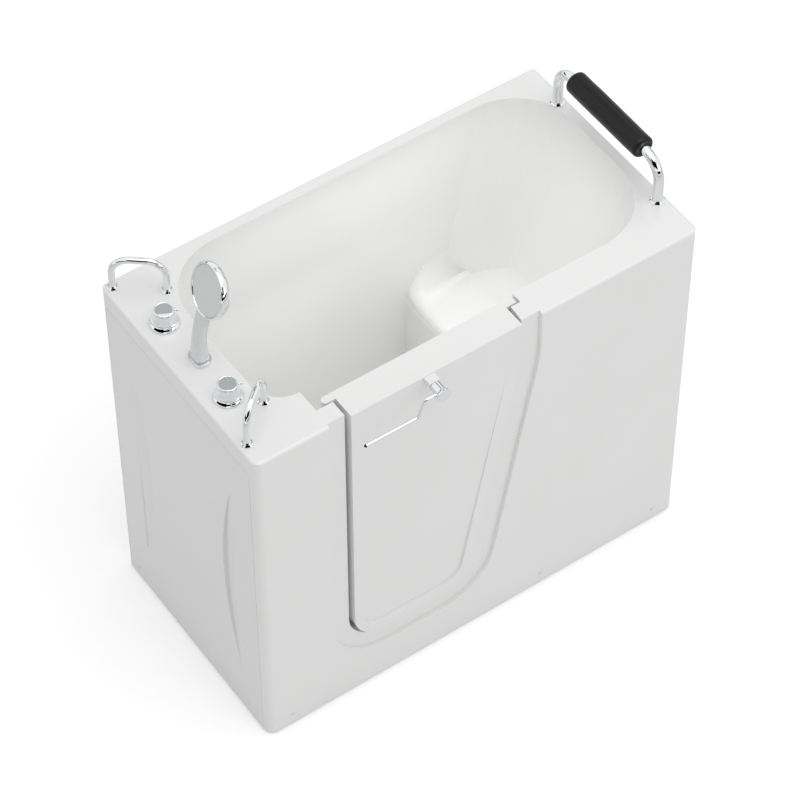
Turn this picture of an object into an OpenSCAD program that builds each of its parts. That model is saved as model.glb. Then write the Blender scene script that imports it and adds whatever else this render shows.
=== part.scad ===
/* [Tub] */
// Overall length, end to end
tub_l = 1200; // [1180:5:1260]
// Overall width, front face to back edge
tub_w = 632; // [620:2:680]
// Height of the deck above the floor
deck_h = 1022; // [1010:2:1060]
// Thickness of the moulded skin
skin = 6; // [5:0.5:7]
// Gap between the skirt and the floor
floor_gap = 5; // [3:1:8]
// Radius of the upright outer corners
corner_r = 22; // [16:1:26]
// Radius of the rolled outer deck edge
edge_r = 8; // [6:1:10]
// Depth of the downturned lip along the open back
back_lip = 60; // [40:5:90]

/* [Basin] */
// Width of the deck that carries the taps
tap_deck = 117; // [110:1:130]
// Width of the deck behind the bather's head
head_deck = 28; // [24:1:36]
// Width of the deck along the back
back_deck = 31; // [26:1:40]
// Width of the deck along the front, right of the door
front_deck = 85; // [84:1:95]
// Width of the deck in the front corner, left of the door
shoulder_deck = 120; // [112:1:126]
// Length of that corner deck beside the hinge notch
shoulder_l = 78; // [70:1:84]
// Height of the seat above the floor
seat_h = 510; // [440:5:540]
// Length of the basin from the seat's front edge to the head end
seat_l = 367; // [350:1:400]
// Length of the flat part of the seat
seat_flat = 150; // [130:5:180]
// Height of the foot well's floor
well_h = 110; // [105:1:120]
// How far the long walls lean in from deck to floor
wall_lean = 20; // [10:1:26]
// How far the tap end leans in from deck to floor
end_lean = 14; // [8:1:18]
// Radius where walls meet the floor of the well
floor_r = 50; // [35:1:60]
// Radius of the seat's front edge
seat_r = 40; // [20:1:48]
// Radius where the long walls meet the seat
seat_wall_r = 80; // [50:5:100]
// Plan radii of the basin, from the front tap corner round
basin_r_front = 75; // [60:1:90]
basin_r_head_front = 180; // [150:1:190]
basin_r_head_back = 165; // [150:1:190]
basin_r_back = 160; // [140:1:180]
// Distance from the dished neck rest's side to the pillow bar's foot
dish_gap = 30; // [24:1:50]
// Slope of the neck rest towards the basin, degrees
dish_slope = 10; // [6:1:14]
// Run of the neck rest's sides for each unit of rise
dish_side = 2; // [1.5:0.25:3]

/* [Door] */
// Width of the door's front face at the top
door_w = 456; // [440:2:470]
// Distance from the tub's left end to the door
door_from_end = 248; // [244:1:256]
// Height of the door's lower edge
door_low = 176; // [170:1:186]
// Distance from the deck down to where the right edge starts to slant
door_knee_below = 142; // [122:5:200]
// Slant of the right edge, degrees
door_slant = 10.3; // [8:0.1:12]
// Radius of the lower corners
door_r = 96; // [80:1:110]
// Depth of the door's outer moulding
door_d = 60; // [56:1:64]
// Thickness of the inner moulding with the sealing flange
flange_t = 20; // [18:1:22]
// Overlap of the flange beyond the outer moulding
flange_w = 28; // [24:1:30]
// Gap between the door and the hinge side of the opening
gap_hinge = 10; // [8:1:12]
// Gap below the door and outside its swing
gap_swing = 3; // [2.5:0.5:4]
// Depth of the recessed surround on the front skirt
surround_d = 11; // [8:1:13]
// Width of the surround round the door
surround_w = 56; // [52:1:60]
// Width of the border round the door's sunk panel
border_w = 36; // [30:1:44]
// Depth of the sunk panel at its lower edge
panel_d = 8; // [5:1:10]
// Thickness of the door's side walls
door_wall = 5; // [4:0.5:6]

/* [Hinge and seal] */
// Radius of the rounded knuckle edge
knuckle_r = 10; // [9:0.5:10.5]
// Hinge pin radius
pin_r = 4; // [3:0.5:5]
// Height of each hinge ring
ring_h = 30; // [24:1:40]
// Length of each hinge pin
pin_l = 100; // [80:5:120]
// Height of the lower hinge above the door's lower edge
hinge_low = 224; // [180:4:260]
// Depth of the upper hinge below the deck
hinge_below = 172; // [140:4:220]
// Height, width and thickness of the hinge's wall plate
leaf_h = 72; // [66:2:80]
leaf_w = 44; // [40:1:48]
leaf_t = 4; // [3:0.5:5]
// Spacing of the hinge's screws, up and across
leaf_screw_up = 52; // [46:1:54]
leaf_screw_across = 12; // [10:1:16]
// Thickness of the gasket
gasket_t = 4; // [3:0.5:5]

/* [Latch] */
// Distance of the lever's axis from the door's left edge
latch_from_edge = 206; // [190:1:230]
// Depth of the lever's axis below the deck
latch_below = 17; // [16.5:0.5:20]
// Teeth that a full turn of the toothed sector would hold
pinion_teeth = 24; // [20:2:26]
// Tooth module
tooth_m = 1; // [0.8:0.05:1]
// Bolt bar width and height below the teeth
bolt_s = 9; // [8:0.5:10]
// Width of the toothed sector
pinion_w = 9; // [7:0.5:10]
// Spindle radius
spindle_r = 5; // [4:0.5:6]
// Radius of the lever's barrel
barrel_r = 14.5; // [13:0.5:16]
// Radius of the barrel's flared end
barrel_end_r = 19; // [17:0.5:22]
// Length of the barrel
barrel_l = 36; // [32:1:40]
// Length of the moulded nose that carries the spindle
nose_l = 22; // [18:1:26]
// Lever rod radius
rod_r = 4; // [3:0.5:4.5]
// Lever's reach from its axis to the crank
rod_out = 42; // [36:1:50]
// Lever's crank, sideways and down
rod_crank = 18; // [12:1:26]
rod_drop = 45; // [36:1:54]
// Length of the lever's grip
rod_grip = 138; // [110:1:142]

/* [Grab bars] */
// Radius of the grab bar's tube
grab_r = 8; // [6:0.5:8]
// Distance between the feet of a grab bar
grab_span = 122; // [118:1:128]
// Turn of the grab bars from the tub's length, degrees
grab_turn = 39.4; // [34:0.1:44]
// Distance of the grab bars' middles from the tub's end
grab_in = 70; // [68:1:72]
// Distance of the rear bar's middle from the back, and of the front bar's from the front
grab_rear_side = 60; // [60:1:75]
grab_front_side = 104; // [90:1:106]
// Height of the grab bar's centre line above the deck
grab_h = 92; // [80:1:120]
// Radius of the grab bar's bends
grab_bend = 44; // [30:1:50]
// Radius of the cover flange at each foot
grab_flange_r = 14; // [12:0.5:18]

/* [Pillow bar] */
// Radius of the pillow bar's tube
pillow_tube_r = 12.5; // [10:0.5:13]
// Distance of the pillow bar's feet from the tub's front and back
pillow_foot_in = 126; // [121:1:136]
// Distance of the pillow bar's feet from the tub's end
pillow_in = 24; // [22:1:26]
// Height of the pillow bar's centre above the deck
pillow_h = 118; // [100:1:130]
// Radius of the pillow bar's bends
pillow_bend = 58; // [50:1:64]
// Radius of the foam sleeve
sleeve_r = 27; // [24:0.5:30]
// Bare straight tube left at each end of the foam sleeve
sleeve_bare = 1; // [1:1:12]

/* [Taps and hand shower] */
// Distance of the tap centres from the tub's end
tap_in = 61; // [58:1:64]
// Place of each tap along the end deck
hot_y = 139; // [130:1:145]
cold_y = -118; // [-124:1:-110]
// Place of the hand shower along the end deck
shower_y = 6; // [0:1:16]
// Radius of the tap's bell flange
bell_r = 36; // [32:1:38]
// Height of the bell flange
bell_h = 13; // [10:1:16]
// Radius and height of the tap's knob
knob_r = 24; // [21:0.5:26]
knob_h = 31; // [26:1:36]
// Diameter of the hand shower's head
head_d = 130; // [120:1:140]
// Width of the rim round the disc on the back, and round the spray plate
disc_rim = 7; // [5:0.5:9]
spray_rim = 10; // [8:0.5:12]
// Backward tilt of the head, degrees
head_tilt = 19; // [16:1:26]
// Height of the head's centre above the deck
head_h = 203; // [190:1:216]

/* [Frame and waste] */
// Side of the square frame tube
frame_s = 25; // [22:1:28]
// Wall of the frame tube
frame_wall = 2; // [1.5:0.5:3]
// Height of the frame's lower rails above the floor
frame_z = 28; // [26:1:34]
// Radius of the levelling foot's pad
pad_r = 25; // [20:1:30]
// Radius of the levelling foot's stud
stud_r = 6; // [5:0.5:7]
// Distance of the corner feet from the tub's ends
foot_in = 80; // [60:5:140]
// Distance of the corner feet from the tub's front and back
foot_side = 50; // [48:1:60]
// Radius of the waste's tailpiece
tail_r = 19; // [18:0.5:20]
// Distance of the waste behind the tub's middle line
drain_y = 19; // [12:1:26]
// Distance of the waste from the tub's left end
drain_in = 262; // [250:1:280]
// Radius of the tee below the waste, which the pipe joins
tee_r = 23; // [21:0.5:24]
// Length of the waste's tailpiece
tail_l = 22; // [18:1:26]
// Depth of the overflow's centre below the deck
overflow_below = 172; // [140:4:200]
// Distance from the deck to the end access panels
end_panel_below = 54; // [50:1:80]
// Distance of the panels' screws from the tub's front and back
end_screw_front = 84; // [60:1:110]
end_screw_back = 59; // [54:1:90]
// Distance of the skirt's outer screws from the tub's ends, and of the middle one from the door
skirt_screw_in = 67; // [50:1:90]
skirt_screw_door = 86; // [70:1:120]

/* [Hidden] */
$fn = 64;
arc_step = 9;   // largest step along a drawn arc, degrees
fine_step = 6;  // the same for a radius over fine_from
fine_from = 60;
eps = 0.01;
run_gap = 0.05; // clearance of a running fit
press_gap = 0.01; // clearance of a pressed or clamped fit
seat_gap = 0.3; // clearance between pieces that don't touch

x_left = -tub_l / 2;
x_right = tub_l / 2;
y_front = -tub_w / 2;
y_back = tub_w / 2;

basin_x0 = x_left + tap_deck;
basin_x1 = x_right - head_deck;
basin_y0 = y_front + front_deck;
basin_y1 = y_back - back_deck;
shoulder_y = y_front + shoulder_deck;
notch_x = basin_x0 + shoulder_l;
seat_x = basin_x1 - seat_l;
back_x = seat_x + seat_flat;

door_x0 = x_left + door_from_end;
door_x1 = door_x0 + door_w;
flange_y = y_front + door_d;
flange_back = flange_y + flange_t;
jamb_y = flange_y - gasket_t;
hinge_x = door_x0 - 20;
hinge_y = flange_y + flange_t / 2;
swing_over = norm([door_x1 - hinge_x - 110, hinge_y - y_front]) - (door_x1 - hinge_x - 110);
hinge_zs = [door_low + hinge_low, deck_h - hinge_below];
door_knee = deck_h - door_knee_below;
panel_top = door_knee + 20;

latch_x = door_x0 + latch_from_edge;
latch_z = deck_h - latch_below;
pinion_r = pinion_teeth * tooth_m / 2;
pinion_y = y_front + 40;
bolt_top = latch_z - pinion_r - 1.25 * tooth_m;
bolt_travel = PI / 2 * pinion_r;
barrel_y = y_front - nose_l;
rod_y = barrel_y - barrel_l * 0.62;

deck_under = deck_h - skin;
tap_x = x_left + tap_in;
drain_x = x_left + drain_in;
pillow_x = x_right - pillow_in;
pillow_span = tub_w - 2 * pillow_foot_in;
sleeve_l = pillow_span - 2 * pillow_bend - 2 * sleeve_bare;
dish_half_w = pillow_span / 2 - dish_gap;
overflow_z = deck_h - overflow_below;
end_panel_h = deck_h - end_panel_below - floor_gap;
bearer_y = 150;
rail_top = frame_z + frame_s;
seat_rail_x = seat_x + seat_flat / 2;

function grab_bar_feet(y, turn) = [for (s = [-1, 1])
    [x_left + grab_in + s * grab_span / 2 * cos(turn), y + s * grab_span / 2 * sin(turn)]];
rear_feet = grab_bar_feet(y_back - grab_rear_side, -grab_turn);
front_feet = grab_bar_feet(y_front + grab_front_side, grab_turn);
grab_feet = concat(rear_feet, front_feet);
pillow_feet = [[pillow_x, -pillow_span / 2], [pillow_x, pillow_span / 2]];
foot_places = [for (x = [x_left + foot_in, x_right - foot_in], y = [y_front + foot_side, y_back - foot_side]) [x, y],
    [0, 0]];

// ---- Outlines with rounded corners ----

function unit(v) = v / norm(v);
function bearing(v) = atan2(v.y, v.x);
function turn(a, b, c) = (b.x - a.x) * (c.y - b.y) - (b.y - a.y) * (c.x - b.x);

// Points of the round at corner b, between its neighbours a and c
function corner(a, b, c, r) = r == 0 ? [b] :
    let (u = unit(a - b), v = unit(c - b), half = acos(u * v) / 2,
         m = b + unit(u + v) * r / sin(half),
         from = bearing(b + u * r / tan(half) - m),
         sweep = (turn(a, b, c) > 0 ? 1 : -1) * (180 - 2 * half),
         n = max(2, ceil(abs(sweep) / (r > fine_from ? fine_step : arc_step))))
    [for (k = [0 : n]) m + r * [cos(from + sweep * k / n), sin(from + sweep * k / n)]];

// Outline through the points, each corner rounded by its own radius
function rounded(pts, radii) = let (n = len(pts))
    [for (i = [0 : n - 1]) each corner(pts[(i + n - 1) % n], pts[i], pts[(i + 1) % n], radii[i])];

function rect(x0, y0, x1, y1) = [[x0, y0], [x1, y0], [x1, y1], [x0, y1]];

// Extrudes an outline drawn in X and Z from y0 to y1
module slab_y(y0, y1) translate([0, y1, 0]) rotate([90, 0, 0]) linear_extrude(y1 - y0) children();

// Extrudes an outline drawn in Y and Z from x0 to x1
module slab_x(x0, x1) translate([x0, 0, 0]) rotate([90, 0, 90]) linear_extrude(x1 - x0) children();

// Extrudes an outline drawn in X and Y from z0 to z1
module slab_z(z0, z1) translate([0, 0, z0]) linear_extrude(z1 - z0) children();

// ---- Bent tube ----

// Places children with their Z axis along v and their X axis along side
module aim(at, v, side) {
    w = unit(v);
    s = unit(side - w * (side * w));
    t = cross(w, s);
    multmatrix([[s.x, t.x, w.x, at.x], [s.y, t.y, w.y, at.y], [s.z, t.z, w.z, at.z], [0, 0, 0, 1]])
        children();
}
function tangent_len(a, b, c, bend) = bend / tan(acos(unit(a - b) * unit(c - b)) / 2);

// Round bar along the points, with every corner bent to one radius. A bend is
// a hair thinner than the bar and reaches a little way into the straights.
bend_thin = 0.03;
bend_reach = 0.3;
module bent_bar(pts, r, bend) {
    last = len(pts) - 1;
    reach = bend_reach / bend * 180 / PI;
    for (i = [0 : last - 1]) {
        a = pts[i];
        b = pts[i + 1];
        w = unit(b - a);
        start = i == 0 ? 0 : tangent_len(pts[i - 1], a, b, bend);
        end = i == last - 1 ? 0 : tangent_len(a, b, pts[i + 2], bend);
        aim(a + w * start, w, [0.36, 0.48, 0.8]) cylinder(h = norm(b - a) - start - end, r = r);
    }
    for (i = [1 : 1 : last - 1]) {
        u = unit(pts[i - 1] - pts[i]);
        v = unit(pts[i + 1] - pts[i]);
        half = acos(u * v) / 2;
        m = pts[i] + unit(u + v) * bend / sin(half);
        from = pts[i] + u * bend / tan(half) - m;
        aim(m, cross(from, -u), from) rotate([0, 0, -reach])
            rotate_extrude(angle = 180 - 2 * half + 2 * reach) translate([bend, 0]) circle(r - bend_thin);
    }
}

// ---- Tub ----

// Basin outline seen from above, grown by g
function basin_plan(g) = rounded(
    [[basin_x0 - g, shoulder_y - g], [notch_x - g, shoulder_y - g], [notch_x - g, basin_y0 - g],
     [basin_x1 + g, basin_y0 - g], [basin_x1 + g, basin_y1 + g], [basin_x0 - g, basin_y1 + g]],
    [basin_r_front + g, 0, 0, basin_r_head_front - head_ease + g, basin_r_head_back - head_ease + g,
     basin_r_back + g]);
head_ease = 40; // the head corners come from the backrest's trough, so these stay behind it

// Backrest: foot and head of its slope, seen from the front
back_foot = [back_x + 66, seat_h + 46];
back_head = [basin_x1, deck_h];
back_angle = bearing(back_head - back_foot);

// Basin seen from the front: foot well, seat and backrest
function basin_side(g) = let (above = deck_h + 90) rounded(
    [[basin_x0 - g, above], [basin_x0 - g, deck_h], [basin_x0 + end_lean - g, well_h - g],
     [seat_x - 14 + g, well_h - g], [seat_x + g, seat_h - g], [back_x, seat_h - g],
     [back_foot.x + g / 2, back_foot.y - g / 2],
     [back_head.x + g / sin(back_angle) + (above - deck_h) / tan(back_angle), above]],
    [0, 0, floor_r + g, floor_r + g, seat_r, 50 + g, 110 + g, 0]);

// Basin seen from the end: leaning long walls
function basin_cross(g) = let (above = deck_h + 90) rounded(
    [[basin_y0 - g, above], [basin_y0 - g, deck_h], [basin_y0 + wall_lean - g, well_h - g],
     [basin_y1 - wall_lean + g, well_h - g], [basin_y1 + g, deck_h], [basin_y1 + g, above]],
    [0, 0, floor_r + g, floor_r + g, 0, 0]);

// The same over the seat, with its own round where the walls meet the seat
function seat_cross(g) = let (above = deck_h + 90, lean = wall_lean * (deck_h - seat_h) / (deck_h - well_h))
    rounded([[basin_y0 - g, above], [basin_y0 - g, deck_h], [basin_y0 + lean - g, seat_h - g],
     [basin_y1 - lean + g, seat_h - g], [basin_y1 + g, deck_h], [basin_y1 + g, above]],
    [0, 0, seat_wall_r + g, seat_wall_r + g, 0, 0]);

// Trough along the slope of the backrest, rounded where it meets the long walls.
// Its floor lies a hair below the slope itself.
module back_trough(g) translate([back_foot.x, 0, back_foot.y]) rotate([0, -back_angle, 0])
    slab_x(-tub_l, tub_l) polygon(rounded(rect(basin_y0 - g, -g - 0.2, basin_y1 + g, tub_l),
        [basin_r_head_front * sin(back_angle) + g, basin_r_head_back * sin(back_angle) + g, 0, 0]));

module basin_form(g) {
    intersection() {
        slab_z(well_h - g - 1, deck_h + 80) polygon(basin_plan(g));
        slab_y(y_front, y_back) polygon(basin_side(g));
        union() {
            slab_x(x_left, seat_x + 2 * g) polygon(basin_cross(g));
            slab_x(seat_x - 14, x_right) polygon(seat_cross(g));
        }
        back_trough(g);
    }
}

// Outer block of the tub, shrunk by g on its sides and top
module outer_form(g, low) intersection() {
    slab_z(low, deck_h - g)
        polygon(rounded(rect(x_left + g, y_front + g, x_right - g, y_back - g), [for (i = [0 : 3]) corner_r - g]));
    slab_y(y_front, y_back)
        polygon(rounded(rect(x_left + g, low, x_right - g, deck_h - g), [0, 0, edge_in(g), edge_in(g)]));
    slab_x(x_left, x_right)
        polygon(rounded(rect(y_front + g, low, y_back - g, deck_h - g), [0, 0, edge_in(g), edge_in(g)]));
}
function edge_in(g) = max(edge_r - g, 0.5);

// Door outline in X and Z, grown by g, and by g_left at the hinge side
function door_low_x(g) = door_x1 + g * cos(door_slant)
    - tan(door_slant) * (door_knee - door_low + g * (1 - sin(door_slant)));
function door_outline(g, g_left, top) = rounded(
    [[door_x0 - g_left, top], [door_x0 - g_left, door_low - g], [door_low_x(g), door_low - g],
     [door_x1 + g, door_knee - g * tan(door_slant / 2)], [door_x1 + g, top]],
    [0, door_r + g, door_r + g, 250 + g, 0]);

// Room that the door's outer moulding sweeps as it swings in
module swing_room() translate([hinge_x, hinge_y, 0])
    rotate([0, 0, -100]) rotate_extrude(angle = 200, $fn = 180) intersection() {
        translate([swing_over - hinge_x, 0]) polygon(door_outline(gap_swing, door_w, deck_h + 50));
        translate([0, 0]) square([tub_l, deck_h + 50]);
    }

module door_hole() {
    intersection() {
        slab_y(y_front - 20, jamb_y + eps) polygon(door_outline(gap_hinge, gap_hinge, deck_h + 40));
        swing_room();
    }
    slab_y(jamb_y, shoulder_y) polygon(rebate_outline(flange_w + rebate_gap, deck_h + 40));
}
rebate_gap = 8;

// Rebate behind the jamb, squarer at the hinge so that the flange can turn in it; grown by g, and by left there
function rebate_outline(g, top, left = 0) = rounded(
    [[notch_x - left, top], [notch_x - left, door_low - g], [door_low_x(g), door_low - g],
     [door_x1 + g, door_knee - g * tan(door_slant / 2)], [door_x1 + g, top]],
    [0, rebate_r + left, door_r + g, 250 + g, 0]);
rebate_r = 36;
jamb_t = 14;

function hinge_edge(x) = door_x0 - x;

// Solid rim round the door opening, between the skirt and the basin
module jamb_block() intersection() {
    union() {
        slab_y(y_front + surround_d + eps, basin_y0 + wall_lean + skin)
            polygon(door_outline(surround_w - 4, surround_w + 22, deck_h - edge_r));
        slab_y(jamb_y - jamb_t, basin_y0 + wall_lean + skin)
            polygon(rebate_outline(surround_w - 8, deck_h - edge_r - 2, jamb_t));
    }
    outer_form(skin / 2, floor_gap + 1);
}

dish_rise = 50;
module dish() translate([x_right - edge_r / 2, 0, deck_h]) rotate([0, -dish_slope, 0])
    rotate([90, 0, -90]) linear_extrude(180)
        polygon([[-dish_half_w, 0], [dish_half_w, 0], [dish_half_w + dish_side * dish_rise, dish_rise],
            [-dish_half_w - dish_side * dish_rise, dish_rise]]);

module end_panel_form(grow) slab_x(x_left - 1, x_left + skin + 1)
    polygon(rounded(rect(y_front + 28 - grow, floor_gap - 10, y_back - corner_r + grow, end_panel_h + floor_gap + grow),
        [0, 0, 8 + grow, 8 + grow]));

module tub_shell() color("white") difference() {
    union() {
        difference() {
            outer_form(0, floor_gap);
            difference() {
                outer_form(skin, floor_gap - 10);
                slab_y(y_front - 1, y_front + surround_d + skin)
                    polygon(door_outline(surround_w + skin, surround_w + skin, deck_h));
            }
            translate([x_left + 40, y_back - skin - 1, floor_gap - 10])
                cube([tub_l - 80, skin + 2, deck_h - back_lip - floor_gap + 10]);
        }
        jamb_block();
        basin_form(skin);
        intersection() {
            translate([0, 0, -skin]) dish();
            outer_form(0, floor_gap);
        }
    }
    basin_form(0);
    dish();
    door_hole();
    slab_y(y_front - 1, y_front + surround_d) polygon(door_outline(surround_w, surround_w, deck_h + 40));
    translate([0, 0, deck_h]) slab_z(0, 200) square([2 * tub_l, 2 * tub_w], center = true);
    end_panel_form(1);
    mirror([1, 0, 0]) end_panel_form(1);
    deck_holes();
    waste_holes();
    keeper_room();
    skirt_screw_holes();
    hinge_screw_places() cylinder(h = 20, r = 2.1, $fn = 24);
}

module deck_holes() {
    for (f = concat(grab_feet, pillow_feet)) translate([f.x, f.y, deck_under - 30]) cylinder(h = 60, r = bar_stud_r + 0.5);
    for (y = [hot_y, cold_y]) translate([tap_x, y, deck_under - 1]) cylinder(h = 20, r = 17);
    translate([shower_x, shower_y, deck_under - 1]) cylinder(h = 20, r = 18.3);
}
module waste_holes() {
    translate([drain_x, drain_y, well_h - 20]) cylinder(h = 40, r = tee_r + 0.5);
    overflow_place() translate([0, 0, -20]) cylinder(h = 40, r = 22);
}
module keeper_room() translate([keeper_x - 20, pinion_y, bolt_top - bolt_s / 2]) rotate([0, 90, 0])
    cylinder(h = keeper_l + 21, r = keeper_r + press_gap);
module skirt_screw_holes() {
    for (p = skirt_screw_xs) translate([p, y_front - 1, frame_z + frame_s / 2]) rotate([-90, 0, 0])
        cylinder(h = 40, r = screw_r + 0.1, $fn = 24);
}

// ---- End access panels ----

// Pressed stiffening crescent, drawn in Y and Z, its straight edge on y = 0
crescent_half = 327;
crescent_sag = 52;
crescent_y = -206;
crescent_z = 499;
press_d = 5;
module crescent(g) {
    r = (crescent_half * crescent_half + crescent_sag * crescent_sag) / (2 * crescent_sag);
    intersection() {
        translate([-crescent_sag - 10, -crescent_half - 10]) square([crescent_sag + 10 + g, 2 * crescent_half + 20]);
        translate([r - crescent_sag, 0]) circle(r + g, $fn = 240);
    }
}
module crescents(g) for (s = [0, 1]) mirror([s, 0]) translate([-crescent_y, crescent_z]) crescent(g);
panel_t = 4;
module end_panel() difference() {
    union() {
        slab_x(x_left, x_left + panel_t) polygon(rounded(rect(y_front + 28, floor_gap, y_back - corner_r,
            end_panel_h + floor_gap), [0, 0, 8, 8]));
        slab_x(x_left, x_left + press_d + panel_t) crescents(3);
    }
    slab_x(x_left - 1, x_left + press_d) crescents(0);
    for (y = end_screw_ys) translate([x_left - 1, y, frame_z + frame_s / 2]) rotate([0, 90, 0])
        cylinder(h = 20, r = screw_r + 0.1, $fn = 24);
}
module end_panel_left() color("whitesmoke") end_panel();
module end_panel_right() color("whitesmoke") mirror([1, 0, 0]) end_panel();
screw_r = 2.5;
skirt_screw_xs = [x_left + skirt_screw_in, door_x1 + skirt_screw_door, x_right - skirt_screw_in];
end_screw_ys = [y_front + end_screw_front, y_back - end_screw_back];

module screw(head_r, head_h, r, l) {
    rotate_extrude($fn = 32) polygon([[0, -head_h], [head_r * 0.6, -head_h], [head_r, -head_h * 0.4],
        [head_r, 0], [r, 0], [r, l], [0, l]]);
}
module skirt_screws() color("white") {
    for (x = skirt_screw_xs) translate([x, y_front, frame_z + frame_s / 2]) rotate([-90, 0, 0])
        screw(5, 2, screw_r, skin + frame_wall + 6);
    for (s = [-1, 1]) for (y = end_screw_ys) translate([s * x_right, y, frame_z + frame_s / 2])
        rotate([0, s * -90, 0]) screw(5, 2, screw_r, skin + frame_wall + 6);
}

// ---- Support frame and feet ----

module box_tube(a, b) {
    size = b - a;
    long = max(size.x, size.y, size.z);
    wall = [for (k = [0 : 2]) size[k] == long ? -1 : frame_wall];
    difference() {
        translate(a) cube(size);
        translate(a + wall) cube(size - 2 * wall);
    }
}
long_rail_y = [y_front + skin, y_back - skin - frame_s];
module frame_long_rails() color("silver") for (y = long_rail_y) difference() {
    box_tube([x_left + skin, y, frame_z] + [16, 0, 0], [x_right - skin, y + frame_s, rail_top] - [16, 0, 0]);
    for (x = skirt_screw_xs) translate([x, y_front, frame_z + frame_s / 2]) rotate([-90, 0, 0])
        cylinder(h = 40, r = screw_r + 0.1, $fn = 24);
}
cross_rail_xs = [x_left + skin, -frame_s / 2, x_right - skin - frame_s];
module frame_cross_rails() color("silver") for (x = cross_rail_xs) difference() {
    box_tube([x, y_front + skin + frame_s, frame_z], [x + frame_s, y_back - skin - frame_s, rail_top]);
    for (f = foot_places) translate([f.x, f.y, frame_z - 1]) cylinder(h = frame_wall + 2, r = stud_r + 0.2);
    for (y = end_screw_ys) translate([x_left, y, frame_z + frame_s / 2]) rotate([0, 90, 0])
        cylinder(h = tub_l, r = screw_r + 0.1, $fn = 24);
}
well_under = well_h - skin;
module frame_bearers() color("silver") for (y = [-bearer_y, bearer_y])
    box_tube([x_left + skin, y - frame_s / 2, rail_top], [x_right - skin, y + frame_s / 2, well_under]);

post_places = [[x_left + 24.5, y_front + 24.5], [x_left + 24.5, y_back - 78.5],
    [x_right - 24.5, y_front + 24.5], [x_right - 24.5, y_back - 24.5]];
module frame_posts() color("silver") for (p = post_places)
    box_tube([p.x - frame_s / 2, p.y - frame_s / 2, rail_top], [p.x + frame_s / 2, p.y + frame_s / 2, deck_under]);

seat_under = seat_h - skin;
module seat_posts() color("silver") for (y = [-bearer_y, bearer_y])
    box_tube([seat_rail_x - frame_s / 2, y - frame_s / 2, well_under],
        [seat_rail_x + frame_s / 2, y + frame_s / 2, seat_under - frame_s]);
module seat_rail() color("silver")
    box_tube([seat_rail_x - frame_s / 2, -bearer_y - 20, seat_under - frame_s],
        [seat_rail_x + frame_s / 2, bearer_y + 20, seat_under]);

plate_t = 5;
pad_h = 10;
nut_h = 8;
module foot_plates() color("silver") for (f = foot_places) difference() {
    side = sign(f.y);
    y0 = side < 0 ? y_front + skin + 2 : f.y - 24;
    y1 = side > 0 ? y_back - skin - 2 : f.y + 24;
    translate([f.x - 24, y0, frame_z - plate_t]) cube([48, y1 - y0, plate_t]);
    translate([f.x, f.y, 0]) cylinder(h = frame_z + 1, r = stud_r + 0.2);
}
module foot_studs() color("silver") for (f = foot_places)
    translate([f.x, f.y, pad_h / 2]) cylinder(h = rail_top - frame_wall - 3 - pad_h / 2, r = stud_r);
module foot_nuts() color("silver") for (f = foot_places) difference() {
    translate([f.x, f.y, frame_z - plate_t - nut_h]) cylinder(h = nut_h, r = stud_r * 1.9, $fn = 6);
    translate([f.x, f.y, 0]) cylinder(h = rail_top, r = stud_r + run_gap);
}
module foot_pads() color("dimgray") for (f = foot_places) translate([f.x, f.y, 0]) difference() {
    rotate_extrude() polygon([[0, 0], [pad_r - 2, 0], [pad_r, 2], [pad_r, 6], [stud_r * 2, pad_h], [0, pad_h]]);
    translate([0, 0, pad_h / 2]) cylinder(h = pad_h, r = stud_r + run_gap);
}

// ---- Grab bars ----

stud_l = 26;
bar_stud_r = 4;
flange_h = 5;
module grab_bar(feet) color("gainsboro") {
    a = [feet[0].x, feet[0].y, deck_h];
    b = [feet[1].x, feet[1].y, deck_h];
    up = [0, 0, grab_h];
    bent_bar([a, a + up, b + up, b], grab_r, grab_bend);
    for (f = [a, b]) translate(f - [0, 0, stud_l]) cylinder(h = stud_l, r = bar_stud_r);
}
module grab_bar_rear() grab_bar(rear_feet);
module grab_bar_front() grab_bar(front_feet);
module cover_flange(f, r, hole) translate([f.x, f.y, deck_h]) difference() {
    rotate_extrude() polygon([[0, 0], [r, 0], [r, flange_h * 0.4], [r - 3, flange_h], [0, flange_h]]);
    translate([0, 0, -1]) cylinder(h = flange_h + 2, r = hole);
}
module grab_bar_flanges() color("gainsboro") for (f = grab_feet) cover_flange(f, grab_flange_r, grab_r + 0.1);
module stud_nut(f) translate([f.x, f.y, deck_under - nut_h]) difference() {
    cylinder(h = nut_h, r = bar_stud_r * 1.9, $fn = 6);
    translate([0, 0, -1]) cylinder(h = nut_h + 2, r = bar_stud_r + run_gap);
}
module grab_bar_nuts() color("silver") for (f = grab_feet) stud_nut(f);

// ---- Pillow bar ----

module pillow_bar() color("gainsboro") {
    a = [pillow_feet[0].x, pillow_feet[0].y, deck_h];
    b = [pillow_feet[1].x, pillow_feet[1].y, deck_h];
    up = [0, 0, pillow_h];
    bent_bar([a, a + up, b + up, b], pillow_tube_r, pillow_bend);
    for (f = [a, b]) translate(f - [0, 0, stud_l]) cylinder(h = stud_l, r = bar_stud_r);
}
module pillow_bar_flanges() color("gainsboro")
    for (f = pillow_feet) cover_flange(f, pillow_tube_r + 5.5, pillow_tube_r + 0.1);
module pillow_bar_nuts() color("silver") for (f = pillow_feet) stud_nut(f);
module pillow_sleeve() color("black") translate([pillow_x, sleeve_l / 2, deck_h + pillow_h]) rotate([90, 0, 0])
    rotate_extrude() polygon(rounded([[pillow_tube_r + seat_gap, 0], [sleeve_r, 0], [sleeve_r, sleeve_l],
        [pillow_tube_r + seat_gap, sleeve_l]], [0, 10, 10, 0]));

// ---- Taps ----

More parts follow.
